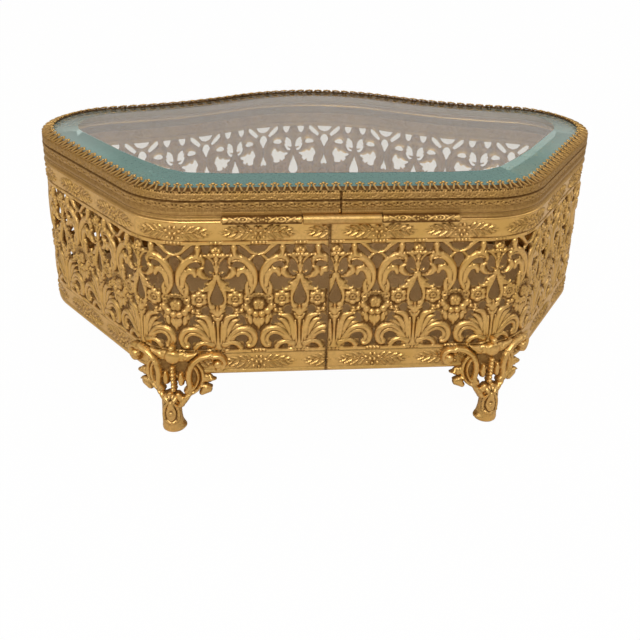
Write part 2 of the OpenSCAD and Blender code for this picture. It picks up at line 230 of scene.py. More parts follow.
def glassFinish():
    finish = Finish("bevelled_glass", **{
        "Transmission Weight": 1.0, "IOR": 1.52, "Roughness": 0.0})
    smear = finish.noise(40, 4.0)
    grain = finish.noise(900, 3.0)
    place = finish.add("ShaderNodeSeparateXYZ", {}, {0: finish.place})
    # painted reflection: the hinge side's bevel is tinted and covered by a diffuse teal layer that stands in for
    # the reflections seen in it, lighter on the flanks
    hingeSide = finish.attribute("bevel") * finish.range(place.out("Y"), 0.045, -0.03, 0.08, 1.0)
    flank = finish.range(place.sum("ABSOLUTE", place.out("X")), 0.08, 0.104)
    finish.give(Roughness=finish.range(smear, 0.4, 0.8, 0.0, 0.03))
    clear = finish.mixColour(finish.range(smear, 0.4, 0.7, 0.0, 0.3), paint("#ffffff"), paint("#f6faf8"))
    finish.give(Base_Color=finish.mixColour(hingeSide, clear, paint("#b4dccf")))
    # the diffuse teal layer of painted reflection
    cast = finish.add("ShaderNodeBsdfPrincipled", {}, {"Roughness": 0.35, "IOR": 1.52})
    tone = finish.mixColour(finish.range(grain, 0.3, 0.7), paint("#78b0a8"), paint("#8cc2ba"))
    tone = finish.mixColour(flank * 0.9, tone, paint("#b6cfcc"))
    finish.tree.links.new(tone.socket, cast.socket.node.inputs["Base Color"])
    finish.cover(hingeSide * (flank * 0.25 + 0.38), cast)
    return finish.material


def velvetFinish():
    finish = Finish("brown_velvet", **{
        "Sheen Weight": 0.35, "Sheen Roughness": 0.5, "Specular IOR Level": 0.1})
    finish.shader.inputs["Sheen Tint"].default_value = (*paint("#c8b090"), 1)
    nap = finish.noise(28, 3.0)
    pile = finish.noise(3200, 3.0)
    colour = finish.mixColour(finish.range(nap, 0.35, 0.7), paint("#b08656"), paint("#c49a68"))
    finish.give(Base_Color=finish.mixColour(finish.range(pile, 0.3, 0.7, 0, 0.4), colour, paint("#8c6838")))
    finish.give(Roughness=finish.range(pile, 0.3, 0.7, 0.85, 1.0))
    finish.bump(pile, 0.0003)
    return finish.material


def boardFinish():
    finish = Finish("pressed_board", **{"Specular IOR Level": 0.2})
    grain = finish.noise(300, 5.0, 0.6, (1, 3, 1))
    finish.give(Base_Color=finish.mixColour(finish.range(grain, 0.3, 0.7), paint("#8f7d63"), paint("#a8967a")))
    finish.give(Roughness=finish.range(grain, 0.3, 0.7, 0.75, 0.95))
    finish.bump(grain, 0.0002)
    return finish.material


def makeFloor(values):
    floor = bmesh.new()
    bmesh.ops.create_grid(floor, x_segments=1, y_segments=1, size=values["floorSize"] / 2)
    finish = Finish("studio_floor", **{"Specular IOR Level": 0.0, "Roughness": 1.0})
    tone = finish.range(finish.noise(3), 0.3, 0.7, 0, 0.1)
    finish.give(Base_Color=finish.mixColour(tone, values["floorColour"], values["floorShade"]))
    straight = finish.add("ShaderNodeLightPath").out("Is Camera Ray")
    white = finish.add("ShaderNodeEmission", {}, {"Color": (1, 1, 1, 1), "Strength": 1.0})
    finish.cover(values["floorWhite"] * straight, white)
    fromBmesh("studio_floor", floor, finish.material)


def makeSky(values):
    world = bpy.data.worlds.new("studio_sky")
    scene.world = world
    world.use_nodes = True
    sky = Graph(world.node_tree)
    seen = sky.add("ShaderNodeLightPath")
    direct = (seen.out("Is Camera Ray") + seen.out("Is Transmission Ray")).held()
    up = sky.add("ShaderNodeSeparateXYZ", {}, {0: sky.add("ShaderNodeTexCoord", out="Generated")}).out("Z")
    light = sky.add("ShaderNodeBackground", {}, {"Color": (*values["below"], 1)})
    for start, end, tone in values["sky"]:
        share = sky.add("ShaderNodeMapRange", {}, {"Value": up, "From Min": start, "From Max": end})
        above = sky.add("ShaderNodeBackground", {}, {"Color": (*tone, 1)})
        light = sky.add("ShaderNodeMixShader", {}, {0: share, 1: light, 2: above})
    white = sky.add("ShaderNodeBackground", {}, {"Color": (1, 1, 1, 1)})
    light = sky.add("ShaderNodeMixShader", {}, {0: direct, 1: light, 2: white})
    sky.add("ShaderNodeOutputWorld", {}, {"Surface": light})


# plan outline, in millimetres

plan = {
    "hingeSide": 110, "backCornerRadius": 28, "flankAngle": 56.5,
    "outerCornerRadius": 32, "outerCornerTurn": 109.5, "shoulderRun": 13.1,
    "hollowRadius": 163, "hollowTurn": 16, "bowRadius": 75,
    "backReach": 3.55, "rimOut": 0.9, "footHeight": 25,
}


def planLegs(values):  # run, radius and turn of each stretch of the right half
    sine = lambda angle: math.sin(math.radians(angle))
    shoulder = values["flankAngle"] + values["outerCornerTurn"]
    hollow = shoulder - values["hollowTurn"]
    corners = values["backCornerRadius"] * sine(values["flankAngle"])
    corners += values["outerCornerRadius"] * (sine(shoulder) - sine(values["flankAngle"]))
    front = values["shoulderRun"] * math.cos(math.radians(shoulder))
    front += values["hollowRadius"] * (sine(shoulder) - sine(hollow)) - values["bowRadius"] * sine(hollow)
    flank = -(values["hingeSide"] / 2 + corners + front) / math.cos(math.radians(values["flankAngle"]))
    turns = [
        (values["hingeSide"] / 2, 0, 0),
        (0, values["backCornerRadius"], values["flankAngle"]),
        (flank, 0, 0),
        (0, values["outerCornerRadius"], values["outerCornerTurn"]),
        (values["shoulderRun"], 0, 0),
        (0, values["hollowRadius"], -values["hollowTurn"]),
        (0, values["bowRadius"], 180 - hollow),
    ]
    return [(run or radius * abs(math.radians(turn)), radius, turn) for run, radius, turn in turns]


legs = planLegs(plan)
halfRun = sum(leg[0] for leg in legs)
stripRun = 2 * halfRun


def stepAlong(leg, heading, part):
    run, radius, turn = leg
    start = math.radians(heading)
    if not radius:
        return Vector((math.cos(start), math.sin(start))) * run * part
    end = math.radians(heading + turn * part)
    return Vector((math.sin(end) - math.sin(start), math.cos(start) - math.cos(end))) * math.copysign(radius, turn)


def wallPlace(s):  # point and heading in radians at a run along the wall's outer face
    w = (s + halfRun) % stripRun - halfRun
    left = abs(w)
    point, heading = Vector((0, 0)), 0.0
    for leg in legs:
        part = min(left / leg[0], 1)
        point = point + stepAlong(leg, heading, part)
        heading += leg[2] * part
        left -= leg[0]
        if left <= 0:
            break
    x, angle = (point.x, heading) if w >= 0 else (-point.x, -heading)
    return Vector((x, point.y + depthShift)), math.radians(angle)


depthShift = 0.0
wallDepth = wallPlace(halfRun)[0].y
depthShift = (plan["backReach"] - wallDepth - plan["rimOut"]) / 2


def outline(inset, step=1.0):  # closed row of points at an inset from the wall's outer face
    count = round(stripRun / step)
    points = []
    for i in range(count):
        point, angle = wallPlace(i * stripRun / count)
        points.append((point.x - inset * math.sin(angle), point.y + inset * math.cos(angle)))
    return points


def standOn(s, y=0.0, z=0.0):  # matrix that puts work drawn at the origin on the wall at a run
    point, angle = wallPlace(s)
    lift = Vector((point.x - y * math.sin(angle), point.y + y * math.cos(angle), z + plan["footHeight"]))
    return Matrix.Translation(lift * mm) @ Matrix.Rotation(angle, 4, "Z")


# sheet metal relief

def gridOf(left, right, bottom, top, cell):  # rows of u and z at even steps
    across, up = round((right - left) / cell), round((top - bottom) / cell)
    return np.meshgrid(np.linspace(left, right, across + 1), np.linspace(bottom, top, up + 1), indexing="ij")


class Relief:  # a sheet drawn on a grid: height of its face and distance inside the nearest edge
    def __init__(self, u, z):
        self.u, self.z = u, z
        self.height = np.zeros_like(u)
        self.shade = np.zeros_like(u)
        self.metal = np.full_like(u, wellInside)

    def near(self, points):  # least distance over width, and greatest depth inside a stroke
        points = smoothRow(points)
        ratio = np.full_like(self.u, wellInside)
        depth = np.full_like(self.u, -wellInside)
        if len(points) == 1:
            points = np.vstack([points, points + (1e-6, 0, 0)])
        for (u0, z0, r0), (u1, z1, r1) in zip(points[:-1], points[1:]):
            along = (self.u - u0) * (u1 - u0) + (self.z - z0) * (z1 - z0)
            along = np.clip(along / ((u1 - u0) ** 2 + (z1 - z0) ** 2), 0, 1)
            far = np.hypot(self.u - u0 - along * (u1 - u0), self.z - z0 - along * (z1 - z0))
            r = r0 + along * (r1 - r0)
            ratio = np.minimum(ratio, far / r)
            depth = np.maximum(depth, r - far)
        return ratio, depth

    def opening(self, points):
        self.metal = np.minimum(self.metal, -self.near(points)[1])

    def stroke(self, top, points, groove=0.0, base=0.3, moat=0.45, edge=0.7):
        # a rolled edge round a domed form, which sinks the work just outside it to stand clear of its neighbours
        ratio, depth = self.near(points)
        rolled = np.sqrt(np.clip(1 - (1 - np.clip(depth / edge, 0, 1)) ** 2, 0, 1))
        form = base + (top - base) * (0.5 * rolled + 0.5 * np.clip(1 - ratio ** 2, 0, 1))
        form -= groove * np.exp(-(ratio / 0.25) ** 2)
        sunk = self.height - moat * np.exp(-(depth / 0.25) ** 2)
        self.height = np.where(ratio < 1, np.maximum(self.height - moat * ratio ** 4, form), sunk)
        self.metal = np.maximum(self.metal, depth)

    def leaf(self, top, start, end, width, vein=0.25, moat=0.45):
        start, end = np.array(start, float), np.array(end, float)
        parts = ((0, 0.4), (0.3, 0.95), (0.6, 1.0), (1, 0.15))
        self.stroke(top, [(*(start + (end - start) * t), width * w) for t, w in parts], vein, moat=moat)

    def dent(self, depth, u, z, r):
        self.height -= depth * np.exp(-((self.u - u) ** 2 + (self.z - z) ** 2) / r ** 2)

    def crease(self, depth, points):
        self.height -= depth * np.exp(-self.near(points)[0] ** 2)

    # painted shade: darkens the colour where shadow falls in the relief
    def darken(self, share):
        self.shade = np.maximum(self.shade, share)


def smoothRow(points, steps=5):  # rows of numbers eased through by a Catmull-Rom curve
    p = np.array(points, float)
    if len(p) < 3:
        return p
    p = np.vstack([2 * p[0] - p[1], p, 2 * p[-1] - p[-2]])
    t = np.linspace(0, 1, steps, endpoint=False)[:, None]
    rows = []
    for a, b, c, d in zip(p, p[1:], p[2:], p[3:]):
        rows.append(0.5 * (2 * b + (c - a) * t + (2 * a - 5 * b + 4 * c - d) * t ** 2
                           + (3 * b - a - 3 * c + d) * t ** 3))
    return np.vstack(rows + [p[-2:-1]])


def bothHalves(field):  # half a pattern and its mirror image
    return np.vstack([field[:0:-1], field])


def blur(field, cells, repeats=True):  # soft average over a few cells each way
    kernel = np.exp(-0.5 * (np.arange(-2 * cells, 2 * cells + 1) / cells) ** 2)
    kernel /= kernel.sum()
    pad = 2 * cells
    wide = np.pad(field, ((pad, pad), (0, 0)), "wrap" if repeats else "edge")
    wide = np.apply_along_axis(lambda row: np.convolve(row, kernel, "valid"), 0, wide)
    tall = np.pad(wide, ((0, 0), (pad, pad)), "edge")
    return np.apply_along_axis(lambda row: np.convolve(row, kernel, "valid"), 1, tall)


class Cut:  # corners, edges and faces of the metal left when a grid is cut along its edges
    def __init__(self, metal):
        solid = metal > 0
        flat = np.arange(metal.size).reshape(metal.shape)
        number = np.full(metal.shape, -1)
        number[solid] = np.arange(solid.sum())
        self.first = list(flat[solid])
        self.second = list(flat[solid])
        self.part = [0.0] * len(self.first)
        corners = solid[:-1, :-1], solid[1:, :-1], solid[1:, 1:], solid[:-1, 1:]
        whole = np.logical_and.reduce(corners)
        some = np.logical_or.reduce(corners) & ~whole
        i, j = np.nonzero(whole)
        self.faces = np.stack([number[i, j], number[i + 1, j], number[i + 1, j + 1], number[i, j + 1]], 1).tolist()
        crossings = {}

        def crossing(a, b):
            key = (a, b) if a < b else (b, a)
            if key not in crossings:
                ma, mb = metal[key[0]], metal[key[1]]
                crossings[key] = len(self.first)
                self.first.append(flat[key[0]])
                self.second.append(flat[key[1]])
                self.part.append(float(np.clip(ma / (ma - mb), 0.06, 0.94)))
            return crossings[key]

        for i, j in zip(*np.nonzero(some)):
            corners = [(i, j), (i + 1, j), (i + 1, j + 1), (i, j + 1)]
            loop = []
            for a, b in zip(corners, corners[1:] + corners[:1]):
                if solid[a]:
                    loop.append(int(number[a]))
                if solid[a] != solid[b]:
                    loop.append(crossing(a, b))
            if len(loop) > 2:
                self.faces.append(loop)
        self.first, self.second = np.array(self.first), np.array(self.second)
        self.part = np.array(self.part)

    def take(self, field):  # a field's value at every corner of the cut sheet
        field = field.ravel()
        return field[self.first] * (1 - self.part) + field[self.second] * self.part

    def rim(self):  # directed edges that belong to one face only
        edges = set()
        for face in self.faces:
            edges.update(zip(face, face[1:] + face[:1]))
        return [edge for edge in edges if (edge[1], edge[0]) not in edges]


def smoothMesh(name, points, faces, recess):  # points in millimetres, with each one's depth in the relief
    mesh = bpy.data.meshes.new(name)
    mesh.from_pydata((points * mm).tolist(), [], faces)
    depth = mesh.attributes.new("recess", "FLOAT", "POINT")
    depth.data.foreach_set("value", np.asarray(recess, np.float32))
    return shadeAs(mesh)


def sheetMesh(name, u, z, face, back, metal, recess, joinSides=True):
    # a closed sheet with a face at y = face and a back at y = back, open at its sides if they join a neighbour
    cut = Cut(metal)
    uAt, zAt = cut.take(u), cut.take(z)
    count = len(uAt)
    points = np.concatenate([np.stack([uAt, cut.take(side), zAt], 1) for side in (face, back)])
    faces = cut.faces + [[p + count for p in reversed(loop)] for loop in cut.faces]
    low, high = u.min() + 1e-6, u.max() - 1e-6
    for a, b in cut.rim():
        atSide = (uAt[a] < low and uAt[b] < low) or (uAt[a] > high and uAt[b] > high)
        if not (joinSides and atSide):
            faces.append([b, a, a + count, b + count])
    front = cut.take(recess)
    return smoothMesh(name, points, faces, np.concatenate([front, front * 0.4 + 0.1]))


def recessOf(height, cells=2, depth=0.45, repeats=True):  # how far a place lies below its surroundings; the finishes darken it as patina together with painted shade
    near = blur(height, cells, repeats) - height
    wide = blur(height, cells * 3, repeats) - height
    return np.clip((near * 1.1 + wide * 0.35) / depth - 0.18, 0, 1)


# geometry nodes: repeat a tile along the wall

def pathObject(name):  # the wall's outer face as a closed curve, starting in the middle of the hinge side
    points = [wallPlace(i * stripRun / round(stripRun))[0] for i in range(round(stripRun))]
    data = bpy.data.curves.new(name, "CURVE")
    data.dimensions = "3D"
    line = data.splines.new("POLY")
    line.points.add(len(points) - 1)
    for knot, point in zip(line.points, points):
        knot.co = (point.x * mm, point.y * mm, plan["footHeight"] * mm, 1)
    line.use_cyclic_u = True
    path = bpy.data.objects.new(name, data)
    scene.collection.objects.link(path)
    return path


def wallTree():  # copies a flat tile along x and bends the row round the path
    tree = bpy.data.node_groups.new("tiles_along_wall", "GeometryNodeTree")
    graph = Graph(tree)
    for name, kind in (("Tile", "NodeSocketGeometry"), ("Path", "NodeSocketObject"), ("Start", "NodeSocketFloat"),
                       ("Step", "NodeSocketFloat"), ("Count", "NodeSocketInt"), ("Metal", "NodeSocketMaterial")):
        tree.interface.new_socket(name, in_out="INPUT", socket_type=kind)
    tree.interface.new_socket("Band", in_out="OUTPUT", socket_type="NodeSocketGeometry")
    asked = graph.add("NodeGroupInput")
    start = graph.add("ShaderNodeCombineXYZ", {}, {"X": asked.out("Start")})
    step = graph.add("ShaderNodeCombineXYZ", {}, {"X": asked.out("Step")})
    places = graph.add("GeometryNodeMeshLine", {}, {
        "Count": asked.out("Count"), "Start Location": start, "Offset": step})
    tiles = graph.add("GeometryNodeInstanceOnPoints", {}, {"Points": places, "Instance": asked.out("Tile")})
    row = graph.add("GeometryNodeRealizeInstances", {}, {"Geometry": tiles})
    where = graph.add("ShaderNodeSeparateXYZ", {}, {0: graph.add("GeometryNodeInputPosition")})
    path = graph.add("GeometryNodeObjectInfo", {}, {"Object": asked.out("Path")}, out="Geometry")
    total = graph.add("GeometryNodeCurveLength", {}, {"Curve": path})
    run = where.sum("FLOORED_MODULO", where.out("X"), total)
    spot = graph.add("GeometryNodeSampleCurve", {"mode": "LENGTH"}, {"Curves": path, "Length": run}, out="Position")
    ahead = graph.add("ShaderNodeVectorMath", {"operation": "NORMALIZE"}, {0: spot.out("Tangent")})
    ahead = graph.add("ShaderNodeSeparateXYZ", {}, {0: ahead})
    inward = graph.add("ShaderNodeCombineXYZ", {}, {"X": ahead.out("Y") * -1, "Y": ahead.out("X")})
    shift = graph.add("ShaderNodeVectorMath", {"operation": "SCALE"}, {0: inward, "Scale": where.out("Y")})
    lift = graph.add("ShaderNodeCombineXYZ", {}, {"Z": where.out("Z")})
    place = graph.add("ShaderNodeVectorMath", {"operation": "ADD"}, {0: spot, 1: shift})
    place = graph.add("ShaderNodeVectorMath", {"operation": "ADD"}, {0: place, 1: lift})
    bent = graph.add("GeometryNodeSetPosition", {}, {"Geometry": row, "Position": place})
    joined = graph.add("GeometryNodeMergeByDistance", {}, {"Geometry": bent, "Distance": 2e-6})
    dressed = graph.add("GeometryNodeSetMaterial", {}, {"Geometry": joined, "Material": asked.out("Metal")})
    graph.add("NodeGroupOutput", {}, {"Band": dressed})
    return tree


def alongWall(name, tile, metal, start, step=0.0, count=1, sharp=48):
    # start, step and the tile's own x are runs along the wall in millimetres
    worker = bpy.data.objects.new(name + "_tile", tile)
    scene.collection.objects.link(worker)
    modifier = worker.modifiers.new("along", "NODES")
    modifier.node_group = bandTree
    values = {"Path": wallPath, "Start": start * mm, "Step": step * mm, "Count": count, "Metal": metal}
    for item in bandTree.interface.items_tree:
        if item.in_out == "INPUT" and item.name in values:
            modifier[item.identifier] = values[item.name]
    applyModifiers(worker)
    mesh = worker.data
    bpy.data.objects.remove(worker)
    mesh.set_sharp_from_angle(angle=math.radians(sharp))
    return placeMesh(name, mesh)


def placeMesh(name, mesh, material=None):
    mesh.name = name
    piece = bpy.data.objects.new(name, mesh)
    scene.collection.objects.link(piece)
    if material:
        mesh.materials.clear()
        mesh.materials.append(material)
    return piece


def shadeAs(mesh, sharp=None):  # smooth faces, with a crease where they meet at more than an angle
    mesh.polygons.foreach_set("use_smooth", [True] * len(mesh.polygons))
    if sharp is not None:
        mesh.set_sharp_from_angle(angle=math.radians(sharp))
    mesh.update()
    return mesh


def skin(work, rings, caps=True):  # faces between closed rings of corners, whose poles may be one corner
    for low, high in zip(rings, rings[1:]):
        count = len(low)
        for k in range(count):
            corners = (low[k], low[(k + 1) % count], high[(k + 1) % count], high[k])
            work.faces.new(list(dict.fromkeys(corners)))
    if caps:
        work.faces.new(rings[-1])
        work.faces.new(list(reversed(rings[0])))


def ringOf(work, places, layer=None, shades=()):  # corners of one ring, from places in millimetres
    ring = [work.verts.new(Vector(place) * mm) for place in places]
    for corner, shade in zip(ring, shades):
        corner[layer] = shade
    return ring


def toMesh(name, work):
    mesh = bpy.data.meshes.new(name)
    work.to_mesh(mesh)
    work.free()
    return mesh


def applyModifiers(piece):
    made = piece.evaluated_get(bpy.context.evaluated_depsgraph_get())
    mesh = bpy.data.meshes.new_from_object(made)
    piece.modifiers.clear()
    piece.data = mesh


def fromBmesh(name, work, material=None, sharp=48):
    return placeMesh(name, shadeAs(toMesh(name, work), sharp), material)


def settle(piece, body, slot, *nodes):
    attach(piece, body)
    if nodes:
        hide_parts(*nodes)


# pierced wall

wall = {
    "repeat": 31.0, "cell": 0.335, "top": 62.7, "seam": -4.2, "firstPalmette": 2.8, "repeats": 20,
    "seamGap": 0.42, "closedBelow": 1.9, "seamShade": 0.5,
    "ground": 0.5, "relief": 0.72, "thickness": 0.5, "leastThickness": 0.22,
    "strips": {"filigree_seam_start": 1, "filigree_right_flank": 3, "filigree_right_corner": 3,
               "filigree_right_bow": 3, "filigree_left_bow": 3, "filigree_left_corner": 3,
               "filigree_left_flank": 3, "filigree_seam_end": 1},
    "pierced": (10.35, 53.75),
    "openings": {
        "teardrop": [(0, 38.4, 0.1), (0, 36.4, 0.75), (0, 33.8, 1.75), (0, 31.6, 2.35)],
        "star": [(3.4, 39.6, 0.5), (5.4, 39.3, 1.3), (7.4, 38.9, 2.2), (9.2, 38.6, 2.2), (10.6, 39.6, 1.5)],
        "starUpper": [(9.3, 39.8, 1.3), (9.7, 41.3, 1.2)],
        "starLower": [(5.6, 37.2, 1.3), (8.2, 36.9, 1.7), (9.6, 36.6, 1.2)],
        "besideStem": [(3.4, 46.6, 1.2), (2.8, 44.9, 1.9), (2.3, 43.0, 1.6), (2.2, 41.9, 0.8)],
        "underScroll": [(6.5, 45.3, 0.7), (8.2, 46.1, 1.4), (9.7, 45.9, 1.0), (10.5, 45.3, 0.4)],
        "corner": [(3.6, 53.2, 1.7), (3.7, 51.8, 1.35), (3.4, 50.4, 0.5)],
        "slot": [(7.9, 53.0, 0.75), (10.1, 51.0, 1.05), (12.3, 48.9, 0.75)],
        "besideCrown": [(3.2, 27.4, 1.0), (4.5, 26.9, 1.5), (4.1, 25.9, 0.9)],
        "aboveVolute": [(8.4, 24.2, 0.9), (9.0, 22.9, 1.4), (8.0, 21.4, 0.7), (10.0, 21.4, 0.8)],
        "eye": [(7.4, 15.0, 1.1), (8.8, 15.1, 1.6), (9.8, 14.9, 1.5)],
        "eyeSlit": [(10.1, 13.7, 0.6), (10.3, 12.2, 0.35), (10.3, 10.8, 0.3)],
        "archHole": [(4.6, 10.3, 1.5), (4.7, 10.6, 1.6)],
        "lens": [(15.5, 47.6, 1.6), (15.5, 46.2, 1.9), (15.5, 43.4, 0.3)],
        "peak": [(15.5, 38.4, 0.35), (15.5, 35.6, 1.2), (15.5, 34.6, 1.5)],
        "foot": [(15.5, 17.6, 0.35), (15.5, 14.6, 0.6), (15.5, 11.9, 1.25)],
    },
    "bowl": {"height": 53.9, "across": 3.6, "down": 3.45},
    # top and groove of each stroke, then the run, height and half width of its points
    "strokes": {
        "leafOuter": (1.2, 0.3, [(2.8, 11.4, 1.6), (4.2, 15.8, 1.1), (5.6, 18.6, 1.05), (7.4, 20.5, 0.8),
                                 (9.3, 21.2, 0.25)]),
        "leafMiddle": (1.35, 0.3, [(2.2, 11.2, 1.6), (3.2, 16.2, 1.1), (4.3, 19.6, 1.1), (5.9, 22.0, 0.95),
                                   (8.3, 23.2, 0.3)]),
        "leafInnerTooth": (1.2, 0.0, [(4.2, 23.6, 0.8), (6.9, 24.4, 0.25)]),
        "leafInner": (1.5, 0.3, [(1.4, 11, 1.6), (2.0, 16, 1.1), (2.7, 20.6, 1.1), (4.2, 23.9, 1.1),
                                 (8.0, 25.0, 0.35)]),
        "fanFlute": (1.45, 0.0, [(0.9, 10.8, 0.55), (1.15, 15, 0.6), (1.3, 19, 0.55), (1.5, 22.2, 0.3)]),
        "fanMiddle": (1.6, 0.0, [(0, 10.4, 1.2), (0, 14, 0.75), (0, 19, 0.65), (0, 23.0, 0.9), (0, 26.4, 1.8)]),
        "volute": (1.7, 0.0, [(3.2, 12.4, 1.3), (5, 16.2, 0.95), (7.2, 18.5, 1.05), (10, 19.2, 1.15),
                              (12.6, 18.2, 1.2), (13.9, 15.9, 1.25), (13.8, 13.4, 1.2), (12.7, 11.9, 1.05),
                              (11.4, 11.8, 0.8)]),
        "voluteInner": (1.35, 0.0, [(3.4, 12, 1.2), (5.5, 15.1, 0.7), (7.6, 16.9, 0.8), (9.9, 17.3, 0.85),
                                    (11.7, 16.2, 0.85), (12.3, 14.5, 0.8), (11.8, 13.1, 0.7), (10.9, 12.8, 0.5)]),
        "eyeLeaf": (1.1, 0.0, [(3.9, 12.6, 0.9), (5.4, 14.2, 0.5), (6.7, 15.0, 0.2)]),
        "arch": (1.45, 0.0, [(2.4, 12.2, 1.3), (5, 13.2, 0.95), (7.2, 12.6, 0.95), (8.6, 11, 0.95)]),
        "crownTip": (1.6, 0.0, [(0.3, 25.2, 1.1), (1.7, 27.3, 0.85), (3.2, 29.2, 0.3)]),
        "crownMiddle": (1.7, 0.15, [(0, 25.2, 0.9), (0, 28.5, 0.4)]),
        "crownLobe": (1.3, 0.0, [(1.6, 26.4, 0.6), (2.7, 26.9, 0.45)]),
        "crownLower": (1.3, 0.0, [(0.8, 23.4, 0.7), (1.9, 25.0, 0.3)]),
        "tearStem": (1.55, 0.15, [(0.45, 41.4, 0.6), (0.9, 39.4, 0.95), (1.8, 37, 1.05), (2.8, 34.2, 0.85),
                                  (3.15, 31.6, 0.62), (2.6, 29.6, 0.6), (1.3, 28.4, 0.6)]),
        "lobeUpper": (1.3, 0.0, [(1.3, 39.0, 0.9), (2.7, 38.0, 0.6), (3.8, 37.9, 0.2)]),
        "lobeMiddle": (1.3, 0.0, [(2.0, 37.4, 0.9), (3.7, 36.4, 0.65), (5.0, 36.4, 0.2)]),
        "lobeLower": (1.3, 0.0, [(2.5, 36.2, 0.8), (4.6, 35.4, 0.6), (6.2, 35.5, 0.5), (6.7, 36.4, 0.25)]),
        "scroll": (1.9, 0.0, [(5.0, 45.6, 0.4), (4.7, 47.1, 0.8), (5.7, 48.6, 1.0), (8.2, 48.9, 1.1),
                              (11.0, 47.4, 1.2), (13.1, 44.7, 1.3), (14.0, 41.4, 1.45), (13.9, 38.2, 1.35),
                              (13.0, 35.6, 1.0), (11.9, 33.9, 0.8)]),
        "scrollInner": (1.5, 0.0, [(6.0, 47.2, 0.5), (7.6, 47.6, 0.6), (9.6, 47.1, 0.6), (11.3, 45.6, 0.7),
                                   (12.4, 43.4, 0.7), (12.7, 41, 0.8), (12.6, 38, 0.8), (11.9, 35.2, 0.8)]),
        "scrollHead": (1.9, 0.0, [(6.6, 52.6, 1.3), (6.6, 51.1, 0.9), (6.9, 49.9, 0.95), (7.9, 48.9, 0.9)]),
        "innerLeaf": (1.7, 0.2, [(12.4, 37.6, 0.9), (12.2, 40.4, 1.15), (11.3, 42.6, 1.3), (9.8, 43.6, 1.3),
                                 (8.3, 43.0, 1.2), (7.9, 41.5, 0.85)]),
        "innerTip": (1.3, 0.0, [(10.6, 44.2, 0.5), (10.2, 45.3, 0.25)]),
        "frondTip": (1.35, 0.0, [(11.9, 36.4, 0.6), (11.0, 36.9, 0.3)]),
        "frondSide": (1.35, 0.0, [(11.6, 34.9, 0.6), (10.4, 35.3, 0.3)]),
        "frond": (1.75, 0.25, [(11.5, 33.4, 0.9), (11.1, 35.4, 0.95), (11.0, 37.2, 0.8), (11.4, 38.8, 0.4)]),
        "comma": (1.7, 0.0, [(4.6, 44.9, 0.5), (5.9, 44.2, 0.9), (6.2, 42.6, 1.2), (5.1, 41.2, 1.05),
                             (3.6, 40.5, 0.5), (2.0, 40.4, 0.3)]),
        "arm": (1.0, 0.0, [(0.4, 43.4, 0.45), (0.9, 45.9, 0.38), (1.8, 47.8, 0.38), (3.2, 49.1, 0.42),
                           (5.0, 49.6, 0.4)]),
        "stem": (1.2, 0.0, [(0, 47, 0.5), (0, 44.6, 0.7), (0, 42.4, 1.0), (0, 40.6, 0.8)]),
        "nodeLeaf": (1.3, 0.0, [(1.2, 42.3, 0.45), (2.7, 42.9, 0.2)]),
        "strap": (1.15, 0.0, [(12.4, 47.9, 0.5), (13.9, 49.4, 0.5), (15.5, 50.0, 0.5)]),
        "bowlRim": (1.45, 0.0, [(9.4, 53.9, 0.8), (11.2, 52.5, 0.85), (13.0, 50.7, 0.65), (15.5, 49.9, 0.55)]),
        "neck": (1.1, 0.0, [(0, 49.4, 0.9), (0, 46.0, 0.6)]),
        "lobe": (1.5, 0.0, [(1.2, 49.2, 0.5), (2.7, 49.8, 0.8)]),
        "tendril": (1.1, 0.0, [(11.0, 30.8, 0.6), (10.4, 32.2, 0.7), (10.9, 33.3, 0.5)]),
        "budStalk": (1.1, 0.0, [(10.8, 28.6, 0.6), (9.4, 27.0, 0.6), (7.6, 26.0, 0.4)]),
    },
    # top, run, height and half width of each bead
    "beads": [
        (1.7, 0, 46.8, 0.7), (1.7, 0, 42.6, 0.62), (1.6, 1.2, 42.4, 0.52), (1.5, 0.8, 41.2, 0.5),
        (1.5, 9.6, 28.5, 0.8), (1.6, 9.1, 26.8, 0.85), (1.5, 7.3, 27.0, 0.75), (1.5, 6.9, 25.8, 0.7),
        (1.6, 5.5, 49.4, 0.7),
    ],
    # top, ends and half width
    "hangingLeaves": [
        (1.4, (11.8, 25.2), (10.6, 23.6), 0.8), (1.5, (12.0, 24.8), (12.6, 20.9), 1.05),
        (1.6, (15.5, 24.2), (15.5, 18.6), 0.95), (1.5, (14.0, 24.6), (14.4, 20.4), 0.9),
    ],
    "flower": {
        "centre": (6.7, 31.8), "petals": 6, "reach": 2.0, "petal": 1.3, "disc": 2.75,
        "groove": 1.35, "middle": 0.85, "eye": 0.5,
    },
    # places of the rose's parts are from its centre, drawn on one side and mirrored by the pattern
    "rose": {
        # dark is the strength of the painted shade round the bud
        "centre": (15.5, 29.4), "gap": 2.45, "gapDepth": 1.3, "dark": 0.85,
        "bud": [(0, 1.45, 1.1), (1.3, 0.45, 1.1), (0.85, -1.05, 1.1), (0, 0.1, 0.75)],
        "curls": [(3.1, 3.1, 1.1), (0.0, 3.9, 1.1), (1.6, 3.9, 0.9), (4.1, 1.5, 1.2)],
        "petals": [(1.75, [(4.8, -0.1, 0.9), (4.3, -1.5, 1.35)]), (1.85, [(3.2, -3.0, 1.5)]),
                   (1.9, [(1.15, -4.15, 1.35)])],
    },
    "rosette": {"centre": (0, 50.9), "petals": 5, "reach": 1.1, "petal": 0.85, "eye": 0.5},
    "joint": {"low": 38.3, "high": 43.6, "width": 0.3, "depth": 0.9},
    "bands": {"sprigs": (4.9, 58.6), "height": 0.8},
    "beadRow": {
        "heights": (9.6, 54.4), "half": 0.95, "ground": 0.4, "barHalf": 0.72, "bar": 1.05, "lip": 0.22,
        "underBeads": 0.55, "clear": 0.75, "bead": 0.6, "palmetteBeads": (-1.5, 0, 1.5),
        "roseBeads": (-2.1, -0.7, 0.7, 2.1),
    },
    "footBead": {"middle": 0.8, "radius": 0.85, "top": 1.65, "ground": 0.45, "rise": 0.95},
}


